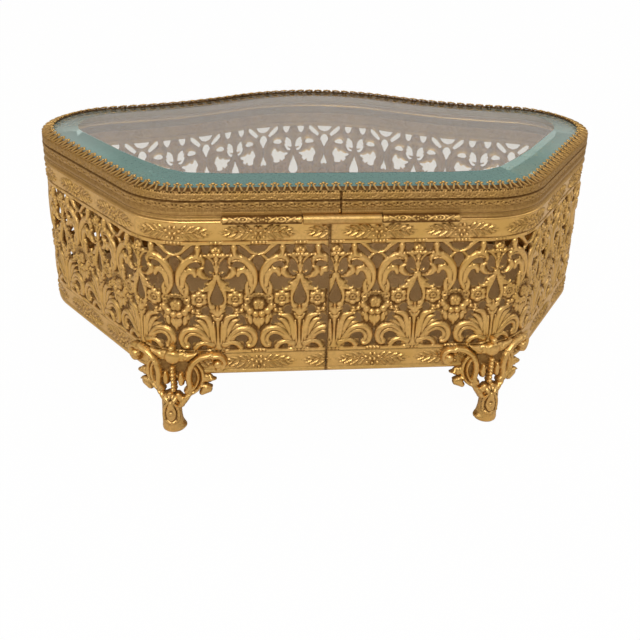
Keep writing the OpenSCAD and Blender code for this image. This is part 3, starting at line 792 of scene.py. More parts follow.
def drawFlower(relief, values):
    u, z = values["centre"]
    relief.stroke(1.3, [(u, z, values["disc"])], moat=0.6)
    for k in range(values["petals"]):
        angle = math.tau * (k + 0.5) / values["petals"]
        place = (u + values["reach"] * math.cos(angle), z + values["reach"] * math.sin(angle), values["petal"])
        relief.stroke(1.6, [place], base=0.6, moat=0.25)
    ring = np.hypot(relief.u - u, relief.z - z)
    relief.height -= 0.85 * np.exp(-((ring - values["groove"]) / 0.28) ** 2)
    relief.height = np.where(ring < values["middle"], np.maximum(relief.height, 1.4), relief.height)
    relief.dent(1.2, u, z, values["eye"])
    # painted shade in the dent of the eye and in the groove round the disc
    relief.darken(np.exp(-(ring / values["eye"]) ** 4))
    relief.darken(0.5 * np.exp(-((ring - values["groove"]) / 0.3) ** 2))


def drawRose(relief, values):
    u, z = values["centre"]
    for top, points in values["petals"]:
        relief.stroke(top, [(u - x, z + y, r) for x, y, r in points], moat=0.6)
    off = np.hypot(relief.u - u, relief.z - z) - values["gap"]
    upward = np.clip((relief.z - z + 3) / 4, 0.3, 1)  # the gap round the bud closes below
    relief.height -= values["gapDepth"] * upward * np.exp(-(off / 0.4) ** 2)
    # painted shade in the gap round the bud and over the rose's upper half
    around = upward * np.exp(-(off / 0.55) ** 2)
    above = np.exp(-((off - 0.9) / 1.2) ** 2) * np.clip((relief.z - z + 1) / 3, 0, 1)
    relief.darken(values["dark"] * np.maximum(around, 0.7 * above))
    for x, y, r in values["curls"]:
        relief.stroke(1.9, [(u - x, z + y, r)], moat=0.7)
        relief.dent(1.3, u - x, z + y, r * 0.5)
        # painted shade in the dent of each curl
        relief.darken(np.exp(-np.hypot(relief.u - u + x, relief.z - z - y) ** 2 / (r * 0.5) ** 2))
    for x, y, r in values["bud"]:
        relief.stroke(2.0, [(u - x, z + y, r)], base=0.7, moat=0.35, edge=0.6)


def drawRosette(relief, values):
    u, z = values["centre"]
    for k in range(values["petals"]):
        angle = math.tau * (k / values["petals"] + 0.25)
        relief.stroke(1.6, [(u + values["reach"] * math.cos(angle), z + values["reach"] * math.sin(angle),
                             values["petal"])])
    relief.dent(0.6, u, z, 0.6)
    relief.stroke(1.8, [(u, z, values["eye"])], base=0.9)


sprig = {
    "berries": [(0.85, -0.35), (0, -2.25), (2.1, -1.95), (0.8, 1.95), (2.55, 0.75)], "berry": 0.66,
    "stem": [(2.2, 0.0, 0.24), (7.4, 0.35, 0.22), (12.6, -0.2, 0.18)],
    # where each leaf leaves the stem, its side, length and lean
    "leaves": [(2.7, 1, 3.6, 46), (3.2, -1, 3.8, 42), (4.6, 1, 4.2, 36), (5.3, -1, 4.2, 33), (7.0, 1, 4.0, 28),
               (7.8, -1, 3.8, 26), (9.7, 1, 3.0, 22), (10.4, -1, 2.8, 20)],
    "width": 0.46,
    "tip": (11.8, 14.6, 0.45),  # ends and width of the leaf at the spray's end
}


def drawSprig(relief, values, u, z):  # a berry cluster with a leafy spray either side
    for side in (-1, 1):
        relief.stroke(1.2, [(u + side * x, z + up, r) for x, up, r in values["stem"]], base=0.8, moat=0.2)
        for at, way, length, lean in values["leaves"]:
            over, up = length * math.cos(math.radians(lean)), way * length * math.sin(math.radians(lean))
            start = (u + side * at, z + way * 0.25)
            middle = (start[0] + side * over * 0.5, start[1] + up * 0.68)
            end = (start[0] + side * over, start[1] + up)
            points = [(*start, 0.2), (*middle, values["width"]), (*end, 0.15)]
            relief.stroke(1.6, points, base=0.8, moat=0.22, edge=0.35)
        tip, tipEnd, width = values["tip"]
        relief.leaf(1.3, (u + side * tip, z), (u + side * tipEnd, z), width, 0.2, 0.2)
    for over, up in values["berries"]:
        for side in (-1, 1):
            relief.stroke(1.9, [(u + side * over, z + up, values["berry"])], base=0.95, moat=0.2, edge=0.5)


def drawBeadRows(relief, values, half):  # a bar with beads let into it at each palmette and rose
    for middle in values["heights"]:
        off = np.abs(relief.z - middle)
        inRow = off < values["half"]
        relief.height = np.where(inRow, values["ground"], relief.height)
        bar = values["bar"] + values["lip"] * np.exp(-((off - 0.5) / 0.2) ** 2)
        relief.height = np.where(off < values["barHalf"], bar, relief.height)
        relief.metal = np.where(inRow, wellInside, relief.metal)
        for axis, beads in ((0, values["palmetteBeads"]), (half, values["roseBeads"])):
            gap = (off < 0.8) & (np.abs(relief.u - axis) < beads[-1] + values["clear"])
            relief.height = np.where(gap, values["underBeads"], relief.height)
            for bead in beads:
                relief.stroke(1.4, [(axis + bead, middle, values["bead"])], base=0.6, moat=0.1)


def wallHalf(values):  # from a palmette's axis to the rose's
    half = values["repeat"] / 2
    relief = Relief(*gridOf(0, half, 0, values["top"], values["cell"]))
    u, z = relief.u, relief.z
    low, high = values["pierced"]
    inPierced = (z > low) & (z < high)
    for points in values["openings"].values():
        relief.opening(points)
    bowl = values["bowl"]
    bowl = (np.hypot((u - half) / bowl["across"], (z - bowl["height"]) / bowl["down"]) - 1) * 3
    relief.metal = np.minimum(relief.metal, bowl)
    relief.metal = np.where(inPierced, relief.metal, np.maximum(relief.metal, np.maximum(low - z, z - high)))
    for top, groove, points in values["strokes"].values():
        relief.stroke(top, points, groove)
    drawFlower(relief, values["flower"])
    for top, start, end, width in values["hangingLeaves"]:
        relief.leaf(top, start, end, width)
    for top, x, y, r in values["beads"]:
        relief.stroke(top, [(x, y, r)])
    drawRose(relief, values["rose"])
    drawRosette(relief, values["rosette"])
    joint = values["joint"]  # where the two scrolls touch; the crease there is painted dark as shade
    touching = np.exp(-((u - half) / joint["width"]) ** 2) * (z > joint["low"]) * (z < joint["high"])
    relief.height -= joint["depth"] * touching
    relief.darken(touching)
    piercedHeight, piercedMetal = relief.height.clip(0, None), relief.metal.copy()
    relief.height[:] = values["bands"]["height"]
    for middle in values["bands"]["sprigs"]:
        drawSprig(relief, sprig, half, middle)
    relief.metal = np.where(inPierced, piercedMetal, wellInside)
    drawBeadRows(relief, values["beadRow"], half)
    bead = values["footBead"]
    edge = np.sqrt(np.clip(1 - ((z - bead["middle"]) / bead["radius"]) ** 2, 0, 1))
    relief.height = np.where(z < bead["top"], bead["ground"] + bead["rise"] * edge, relief.height)
    relief.height = np.where(inPierced, piercedHeight, relief.height)
    return relief


def wallTile(name, relief, cutLeft=None, cutRight=None):
    u = np.vstack([-relief.u[:0:-1], relief.u])
    z, metal, height = (bothHalves(field) for field in (relief.z, relief.metal, relief.height))
    height = blur(height, 1) * 0.3 + height * 0.7
    recess = np.maximum(recessOf(height), bothHalves(relief.shade))
    footGap = 0.5 * wall["seamGap"] * (z < wall["closedBelow"])  # the joint closes at its foot
    for cut, side in ((cutLeft, 1), (cutRight, -1)):
        if cut is not None:
            metal = np.minimum(metal, side * (u - cut) + footGap)
            recess = np.maximum(recess, np.exp(-((u - cut) / wall["seamShade"]) ** 2))
    face = wall["ground"] - height * wall["relief"]
    soft = wall["ground"] + wall["thickness"] - blur(height, 2) * wall["relief"] * 0.8
    back = np.maximum(soft, face + wall["leastThickness"])
    return sheetMesh(name, u, z, face, back, metal, recess)


def makeWall():
    print("wall")
    relief = wallHalf(wall)
    gap, axis = wall["seamGap"] / 2, wall["firstPalmette"]
    last = wall["repeats"] - 1
    tiles = {
        0: wallTile("first_repeat", relief, cutLeft=gap - axis),
        1: wallTile("whole_repeat", relief),
        last: wallTile("last_repeat", relief, cutRight=stripRun - axis - last * wall["repeat"] - gap),
    }
    at = 0
    for name, count in wall["strips"].items():
        start = wall["seam"] + axis + at * wall["repeat"]
        piece = alongWall(name, tiles.get(at, tiles[1]), finishes["gilt"], start, wall["repeat"], count)
        settle(piece, "case", "gilt_brass", "filigree_wall")
        at += count


# mouldings and embossed bands: a closed profile carried along the wall

def stripMesh(name, u, inset, z, recess, caps=False):
    # rows of a closed profile, one per place along u; left open at the ends when it joins a neighbour
    stations, m = inset.shape
    points = np.stack([np.broadcast_to(u[:, None], inset.shape), inset, z], 2).reshape(-1, 3)
    faces = []
    for i in range(stations - 1):
        for j in range(m):
            a, b = i * m + j, i * m + (j + 1) % m
            faces.append((a, a + m, b + m, b))
    if caps:
        faces += [tuple(range(m)), tuple(range(stations * m - 1, (stations - 1) * m - 1, -1))]
    return smoothMesh(name, points, faces, recess.ravel())


def plainMoulding(name, profile, length, metal, start, caps):
    # profile rows are inset, height and recess (the row's darkening, painted as shade), from the bottom up the
    # outside and down the inside
    rows = np.array(profile, float)
    u = np.linspace(0, length, round(length / 1.2) + 1)
    inset, z, recess = (np.tile(rows[:, k], (len(u), 1)) for k in range(3))
    return alongWall(name, stripMesh(name, u, inset, z, recess, caps), metal, start, sharp=40)


def embossedBand(name, relief, values):  # the relief as an inset, closed by the rows of the band's back
    height = blur(relief.height, 1) * 0.4 + relief.height * 0.6
    out, rise = values["face"]
    lip, lipFrom = values["lip"]  # set in above a height
    front = (-out - rise * height + lip * (relief.z > lipFrom), relief.z,
             np.maximum(recessOf(height, 2, 0.5), relief.shade))
    rows = np.array(values["back"], float)
    inset, z, recess = (np.hstack([side, np.tile(rows[:, k], (len(side), 1))]) for k, side in enumerate(front))
    tile = stripMesh(name, relief.u[:, 0], inset, z, recess)
    piece = alongWall(name, tile, finishes["gilt"], 0, stripRun / bandValues["repeats"], bandValues["repeats"], 50)
    cutSeam(piece, bandValues)
    return piece


# rim of the case

rim = {
    "hingeHalf": 43.5, "clear": 0.15,
    # third number of each row: the bead's underside, the cove above it and the lip's face behind the bead are
    # painted dark as shade
    "bead": [(1.75, 62.35, 0.6), (0.1, 62.35, 0.9), (-0.35, 62.45, 0.5), (-0.68, 62.62, 0.1), (-0.85, 62.9, 0.0),
             (-0.72, 63.18, 0.0), (-0.42, 63.36, 0.15), (0.0, 63.5, 0.45), (0.25, 63.75, 0.5), (0.35, 64.15, 0.4),
             (0.42, 64.6, 0.3), (0.6, 64.9, 0.2), (1.75, 64.9, 0.4)],
    "lip": [(1.8, 60.1, 0.7), (1.03, 60.1, 0.9), (1.03, 62.4, 0.9), (0.65, 62.9, 0.8), (0.5, 64.5, 0.5),
            (0.7, 65.08, 0.4), (1.8, 65.08, 0.4), (1.8, 64.1, 0.2), (2.05, 63.95, 0.0), (2.2, 63.65, 0.0),
            (2.1, 63.3, 0.2), (1.8, 63.1, 0.8)],
}


def makeRim(values):
    print("rim of the case")
    gap = values["hingeHalf"] + values["clear"]
    bead = plainMoulding("rim_bead", values["bead"], stripRun - 2 * gap, finishes["gilt"], gap, True)
    lip = plainMoulding("rim_lip", values["lip"], stripRun, finishes["brown"], 0, False)
    for piece in (bead, lip):
        settle(piece, "case", "gilt_brass", "wall_rim")


# frame of the lid and the gallery that holds the glass

bandValues = {
    "repeats": 97, "cell": 0.24,
    # the open joint of both bands, on the hinge side
    "at": -0.5, "half": 0.42, "depth": 0.75, "darkHalf": 0.3, "behind": (-67.5, -67.0),
}


lidBand = {
    "low": 65.2, "high": 71.2, "face": (0.3, 0.5), "lip": (0, 71.2),
    "strokes": [
        [(-3.1, 69.0, 0.3), (-2.1, 69.65, 0.32), (-0.8, 69.3, 0.34), (0.6, 68.6, 0.34), (2.0, 68.45, 0.32),
         (3.1, 69.0, 0.3)],
        [(-1.0, 69.4, 0.34), (0.2, 69.75, 0.32), (1.0, 69.4, 0.3), (0.7, 68.95, 0.28)],
        [(1.2, 68.6, 0.32), (2.3, 69.3, 0.34), (1.7, 69.9, 0.28)],
        [(-2.2, 69.5, 0.32), (-2.6, 68.8, 0.34), (-1.6, 68.4, 0.3), (-0.9, 68.6, 0.26)],
    ],
    # where the scrolls lie, their ground and their rise, and the height of what lies outside
    "scrolls": (68.05, 70.05, 0.3, 0.8), "plain": 0,
    # from, to and height of the plain rows
    "rows": [(69.92, 70.47, 1.1), (70.5, 72, -0.9), (65, 65.4, 0.45)],
    "shade": 0.45, "shades": [(65.45, 66.75, 0.55), (66.8, 67.85, 0.65), (70.45, 72, 0.95)],
    "smooth": {"low": 65.45, "high": 66.75, "height": 0.75, "swell": 0.12},
    "milled": {"low": 66.85, "high": 67.8, "height": 0.1, "tick": 0.6, "ticks": 7},
    "back": [(0.8, 71.25, 0.9), (0.85, 70.62, 0.6), (4.15, 70.6, 0.3), (4.2, 70.2, 0.3), (4.15, 69.8, 0.3),
             (1.45, 69.8, 0.6), (1.4, 65.28, 0.5)],
    # solder in the joint: size, inset, share of it across, in and up, and its place
    "solder": {"radius": 0.8, "inset": -0.75, "stretch": (0.55, 0.5, 1.15), "place": (-0.9, 0.15, 66.7)},
}

galleryBand = {
    "low": 71.3, "high": 74.3, "face": (0.15, 0.62), "lip": (0.2, 74.05),
    "strokes": [
        [(-3.1, 72.25, 0.28), (-1.8, 71.75, 0.32), (-0.4, 72.1, 0.34), (0.9, 72.85, 0.34), (2.2, 72.9, 0.3),
         (3.1, 72.25, 0.28)],
        [(-0.6, 72.0, 0.32), (0.5, 71.7, 0.32), (1.3, 72.0, 0.3), (1.0, 72.4, 0.24)],
        [(1.2, 72.8, 0.32), (2.1, 72.2, 0.32), (1.9, 71.75, 0.24)],
        [(-2.2, 71.95, 0.3), (-2.4, 72.7, 0.32), (-1.5, 73.0, 0.3), (-0.9, 72.7, 0.26)],
    ],
    "scrolls": (71.45, 73.25, 0.45, 0.5), "plain": 0.8,
    "rows": [(73.24, 73.56, 0.95), (73.55, 75, 0.1)],
    "shade": 0.5, "shades": [],
    "dots": 6, "dotHeight": 73.85, "dot": 0.3,
    # the back runs in as a ledge over the glass's edge; its rows are painted fully dark as the shade there
    "back": [(0.3, 74.36, 1.0), (3.3, 74.74, 1.0), (3.3, 74.6, 1.0), (0.2, 74.25, 1.0), (0.2, 73.2, 0.5),
             (0.2, 71.3, 0.5)],
}


def stampAcross(relief, top, points, base=0.2):  # a stroke and its copies in the neighbouring repeats
    width = relief.u.max() - relief.u.min()
    for shift in (-width, 0, width):
        relief.stroke(top, [(u + shift, z, r) for u, z, r in points], base=base)


def cutSeam(piece, values):  # opens the joint a little and darkens it
    first, then = (limit * mm for limit in values["behind"])
    depth = piece.data.attributes["recess"].data
    for corner, shade in zip(piece.data.vertices, depth):
        place = corner.co
        off = abs(place.x / mm - values["at"])
        if place.y < first and off < values["half"]:
            place.y += values["depth"] * mm * (1 - (off / values["half"]) ** 2)
        if place.y < then and off < values["darkHalf"]:
            shade.value = 1.0


def bandTile(values):  # one repeat of an embossed band
    half = stripRun / bandValues["repeats"] / 2
    relief = Relief(*gridOf(-half, half, values["low"], values["high"], bandValues["cell"]))
    z = relief.z
    for points in values["strokes"]:
        stampAcross(relief, 1.0, points)
    low, high, ground, rise = values["scrolls"]
    relief.height = np.where((z > low) & (z < high), ground + rise * relief.height, values["plain"])
    relief.shade[:] = values["shade"]
    for low, high, height in values["rows"]:
        relief.height = np.where((z > low) & (z < high), height, relief.height)
    for low, high, shade in values["shades"]:
        relief.shade = np.where((z > low) & (z < high), shade, relief.shade)
    return relief


def makeLidFrame(values):
    print("frame of the lid")
    relief = bandTile(values)
    u, z = relief.u, relief.z
    row = values["smooth"]
    swell = row["swell"] * np.sin((z - row["low"]) / (row["high"] - row["low"]) * math.pi)
    relief.height = np.where((z > row["low"]) & (z < row["high"]), row["height"] + swell, relief.height)
    row = values["milled"]
    ticks = 0.5 + 0.5 * np.cos(math.tau * u * row["ticks"] * bandValues["repeats"] / stripRun)
    ticks = row["height"] + row["tick"] * ticks
    relief.height = np.where((z > row["low"]) & (z < row["high"]), ticks, relief.height)
    settle(embossedBand("lid_frame_bands", relief, values), "lid", "gilt_brass", "lid_frame")
    solder = values["solder"]
    spot = bmesh.new()
    bmesh.ops.create_uvsphere(spot, u_segments=14, v_segments=10, radius=solder["radius"] * mm)
    for corner in spot.verts:
        corner.co = corner.co * Vector(solder["stretch"]) + Vector(solder["place"]) * mm
    spot.transform(standOn(0, solder["inset"], 0))
    settle(fromBmesh("solder_spot", spot, finishes["solder"]), "lid", "gilt_brass", "lid_frame")


claw = {
    "count": 137, "foot": (-0.4, 74.1), "lean": 17,
    # foot and head of a leg and its half width at each; place, half width and half thickness of each bead
    "leg": ((1.5, -0.1), (0.5, 3.8), 0.5, 0.36), "thickness": 0.26,
    "square": ((-1, -0.8), (1, -0.8), (0.7, 0.9), (-0.7, 0.9)),
    "beads": [(0.0, 4.7, 0.85, 0.6), (1.1, 4.1, 0.66, 0.45), (-1.1, 4.1, 0.66, 0.45)],
    "beadOut": 0.35, "beadDepth": 0.75,
    # the lower part of each claw, by the glass's edge, is painted darker as shade
    "paintedShadeBelow": 75.1, "dark": 0.5, "light": 0.1,
}


def clawMesh(values):  # an open A with three beads for a hat, leaning in over the edge of the glass
    work = bmesh.new()
    shade = work.verts.layers.float.new("recess")
    lean = math.radians(values["lean"])
    inset, height = values["foot"]

    def place(p, q, t):
        return Vector((p, inset + q * math.cos(lean) - t * math.sin(lean),
                       height + q * math.sin(lean) + t * math.cos(lean)))

    (p0, q0), (p1, q1), w0, w1 = values["leg"]
    thick, deep = values["thickness"], values["beadDepth"]
    for side in (-1, 1):
        rings = []
        for p, q, w in ((p0, q0, w0), ((p0 + p1) / 2, (q0 + q1) / 2, (w0 + w1) / 2), (p1, q1, w1)):
            corners = [place(side * p + a * w, q, b * thick + thick) for a, b in values["square"]]
            rings.append(ringOf(work, corners))
        skin(work, rings, False)
    for p, q, across, up in values["beads"]:
        ball = bmesh.ops.create_icosphere(work, subdivisions=1, radius=1.0)
        for corner in ball["verts"]:
            x, y, z = corner.co
            spot = place(p + x * across, q + y * across * deep, values["beadOut"] + z * up * deep)
            corner.co = spot * mm
    # painted shade on the lower part of each claw
    for corner in work.verts:
        corner[shade] = values["dark"] if corner.co.z < values["paintedShadeBelow"] * mm else values["light"]
    bmesh.ops.recalc_face_normals(work, faces=work.faces)
    return shadeAs(toMesh("claw", work))


def makeGallery(values):
    print("gallery")
    relief = bandTile(values)
    step = stripRun / bandValues["repeats"] / values["dots"]
    for k in range(values["dots"]):
        at = (k + 0.5 - values["dots"] / 2) * step
        stampAcross(relief, 0.95, [(at, values["dotHeight"], values["dot"])], base=0.1)
    settle(embossedBand("gallery_band", relief, values), "lid", "gilt_brass", "glass_gallery")
    pitch = stripRun / claw["count"]
    claws = alongWall("gallery_claws", clawMesh(claw), finishes["gilt"], pitch / 2, pitch, claw["count"], 70)
    settle(claws, "lid", "gilt_brass", "glass_gallery")


# bevelled glass

glass = {
    # inset, height and share of the bevel's tint
    "rows": [(1.25, 70.62, 0), (0.95, 70.9, 0), (0.92, 73.95, 0), (1.1, 74.22, 1), (5.0, 74.68, 1),
             (10.0, 75.27, 1), (15.3, 75.88, 1), (15.6, 75.9, 0)],
    "bevelFrom": 1.0, "edgeTo": 1.3, "step": 1.5,
    # the bevel is wider round the corners of the hinge side and narrower on the flanks: run and share of its width
    "widths": [(0, 0.97), (42, 0.97), (55, 1.07), (69, 1.17), (82, 1.11), (95, 0.98), (110, 0.89), (140, 0.87),
               (165, 0.95), (190, 1.0)],
}


def makeGlass(values):
    print("glass")
    work = bmesh.new()
    tint = work.verts.layers.float.new("bevel")
    steps = round(stripRun / values["step"])
    start = values["bevelFrom"]
    rings = []
    for inset, z, share in values["rows"]:
        places = []
        for i in range(steps):
            run = abs((i * stripRun / steps + halfRun) % stripRun - halfRun)
            width = np.interp(run, *zip(*values["widths"]))
            reach = start + (inset - start) * width if inset > values["edgeTo"] else inset
            point, angle = wallPlace(i * stripRun / steps)
            x, y = point.x - reach * math.sin(angle), point.y + reach * math.cos(angle)
            places.append((x, y, z + plan["footHeight"]))
        rings.append(ringOf(work, places, tint, [share] * steps))
    skin(work, rings)
    piece = fromBmesh("bevelled_glass", work, finishes["glass"], sharp=1.5)
    settle(piece, "lid", "bevelled_glass", "lid_glass")


# hinge

hinge = {
    "axisOut": 1.7, "axisHeight": 64.0, "radius": 1.85, "bore": 0.9, "half": 43.3, "centre": 14.3, "gap": 0.2,
    "around": 48, "rounding": 0.25, "roundRun": 0.08, "roundPart": 0.06, "plainShade": 0.22,
    "pin": {"radius": 0.88, "bore": 0.02, "past": 0.5},
    # inset and height of two opposite corners of each plate
    "tongue": ((-1.6, 62.3), (1.8, 63.08)), "flap": ((1.02, 56.4), (1.78, 62.9)),
    "leaf": ((-1.2, 64.2), (-0.8, 66.9)), "leafRounding": 0.18,
    "cell": 0.2, "tilt": 27, "depth": 0.3,
    # motif along half of an outer knuckle, from its end: run, side, radius
    "triangle": [(0.6, 0.0, 1.5), (2.6, 0.0, 0.5)],
    "crossings": [[(2.4, -0.9, 0.4), (4.0, 0.1, 0.5), (5.6, 1.1, 0.4)],
                  [(2.4, 0.9, 0.4), (4.0, -0.1, 0.5), (5.6, -1.1, 0.4)],
                  [(9.2, -0.9, 0.4), (10.6, 0.1, 0.5), (12.0, 1.0, 0.4)],
                  [(9.2, 0.9, 0.4), (10.6, -0.1, 0.5), (12.0, -1.0, 0.4)]],
    "ring": (7.4, 1.5, 0.95), "ringWidth": 0.42,
    "berries": [(7.4, 0.0, 0.5), (12.9, 0.6, 0.45), (12.9, -0.6, 0.45), (13.9, 0.0, 0.5)],
}


def barrel(name, start, end, metal, relief=None, radius=hinge["radius"], bore=hinge["bore"]):
    # a tube along the hinge axis; relief heights lift its skin
    around, rounding, near = hinge["around"], hinge["rounding"], hinge["roundRun"]
    xs, lift = relief or (np.linspace(start, end, 24), None)
    inner = xs[(xs > start + rounding) & (xs < end - rounding)]
    work = bmesh.new()
    shade = work.verts.layers.float.new("recess")
    angles = [math.tau * k / around for k in range(around)]

    def ring(x, reach, depths):
        places = [(x, -hinge["axisOut"] - r * math.cos(a), hinge["axisHeight"] + r * math.sin(a))
                  for r, a in zip(reach, angles)]
        return ringOf(work, places, shade, depths)

    shrinks = [rounding, hinge["roundPart"]]
    shrinks += [0.0] * len(inner) + shrinks[::-1]
    rings = []
    for x, shrink in zip([start, start + near, *inner, end - near, end], shrinks):
        up, depth = np.zeros(around), np.full(around, hinge["plainShade"])
        if lift is not None:
            up = lift[np.argmin(np.abs(xs - x))]
            depth = np.clip(-up / hinge["depth"], 0, 1)
        rings.append(ring(x, radius - shrink + up, depth))
    bores = [ring(x, np.full(around, bore), np.zeros(around)) for x in (start, end)]
    skin(work, [bores[0], *rings, bores[1], bores[0]], False)
    bmesh.ops.recalc_face_normals(work, faces=work.faces)
    work.transform(standOn(0))
    return fromBmesh(name, work, metal, sharp=55)


def boxOf(name, low, high, metal, rounding=0.12, s=0.0):
    work = bmesh.new()
    bmesh.ops.create_cube(work, size=1.0)
    low, high = Vector(low), Vector(high)
    for corner in work.verts:
        corner.co = ((low + high) / 2 + corner.co * (high - low)) * mm
    bmesh.ops.bevel(work, geom=work.edges[:], offset=rounding * mm, segments=2, affect="EDGES", profile=0.6)
    work.transform(standOn(s))
    return fromBmesh(name, work, metal, sharp=60)


def knuckleRelief(start, end):
    length = end - start
    xs = np.linspace(start, end, round(length / hinge["cell"]) + 1)
    side = (np.arange(hinge["around"]) * math.tau / hinge["around"] + math.pi) % math.tau - math.pi
    facing = side - math.radians(hinge["tilt"])
    field = Relief(*np.meshgrid(xs - start, facing * hinge["radius"], indexing="ij"))
    middle, across, up = hinge["ring"]
    strokes = [(1.0, hinge["triangle"], 0.0)] + [(1.0, points, 0.2) for points in hinge["crossings"]]
    strokes += [(1.1, [berry], 0.0) for berry in hinge["berries"]]
    for turn in (lambda x: x, lambda x: length - x):
        for top, points, groove in strokes:
            field.stroke(top, [(turn(x), y, r) for x, y, r in points], groove)
        off = np.abs(np.hypot((field.u - turn(middle)) / across, field.z / up) - 1) * (across + up) / 2
        form = np.sqrt(np.clip(1 - (off / hinge["ringWidth"]) ** 2, 0, 1))
        field.height = np.maximum(field.height, form)
    return xs, (np.clip(field.height, 0, None) - 1.0) * hinge["depth"]


def makeHinge():
    print("hinge")
    centre, end = hinge["centre"], hinge["half"]
    node = "hinge_centre_knuckle"
    settle(barrel("hinge_centre_barrel", -centre, centre, finishes["gilt"]), "case", "gilt_brass", node)
    for part in ("tongue", "flap"):
        low, high = hinge[part]
        plate = boxOf("hinge_centre_" + part, (-centre, *low), (centre, *high), finishes["brown"])
        settle(plate, "case", "gilt_brass", node)
    inner = centre + 2 * hinge["gap"]
    for side, start in (("left", -end), ("right", inner)):
        stop = start + end - inner
        node = "hinge_" + side + "_knuckle"
        outer = barrel(node + "_barrel", start, stop, finishes["gilt"], knuckleRelief(start, stop))
        low, high = hinge["leaf"]
        leaf = boxOf(node + "_leaf", (start, *low), (stop, *high), finishes["dark"], hinge["leafRounding"])
        for piece in (outer, leaf):
            settle(piece, "lid", "gilt_brass", node)
    pin = hinge["pin"]
    half = end + pin["past"]
    rod = barrel("hinge_pin_rod", -half, half, finishes["brown"], radius=pin["radius"], bore=pin["bore"])
    settle(rod, "case", "aged_brass", "hinge_pin")


# cast feet

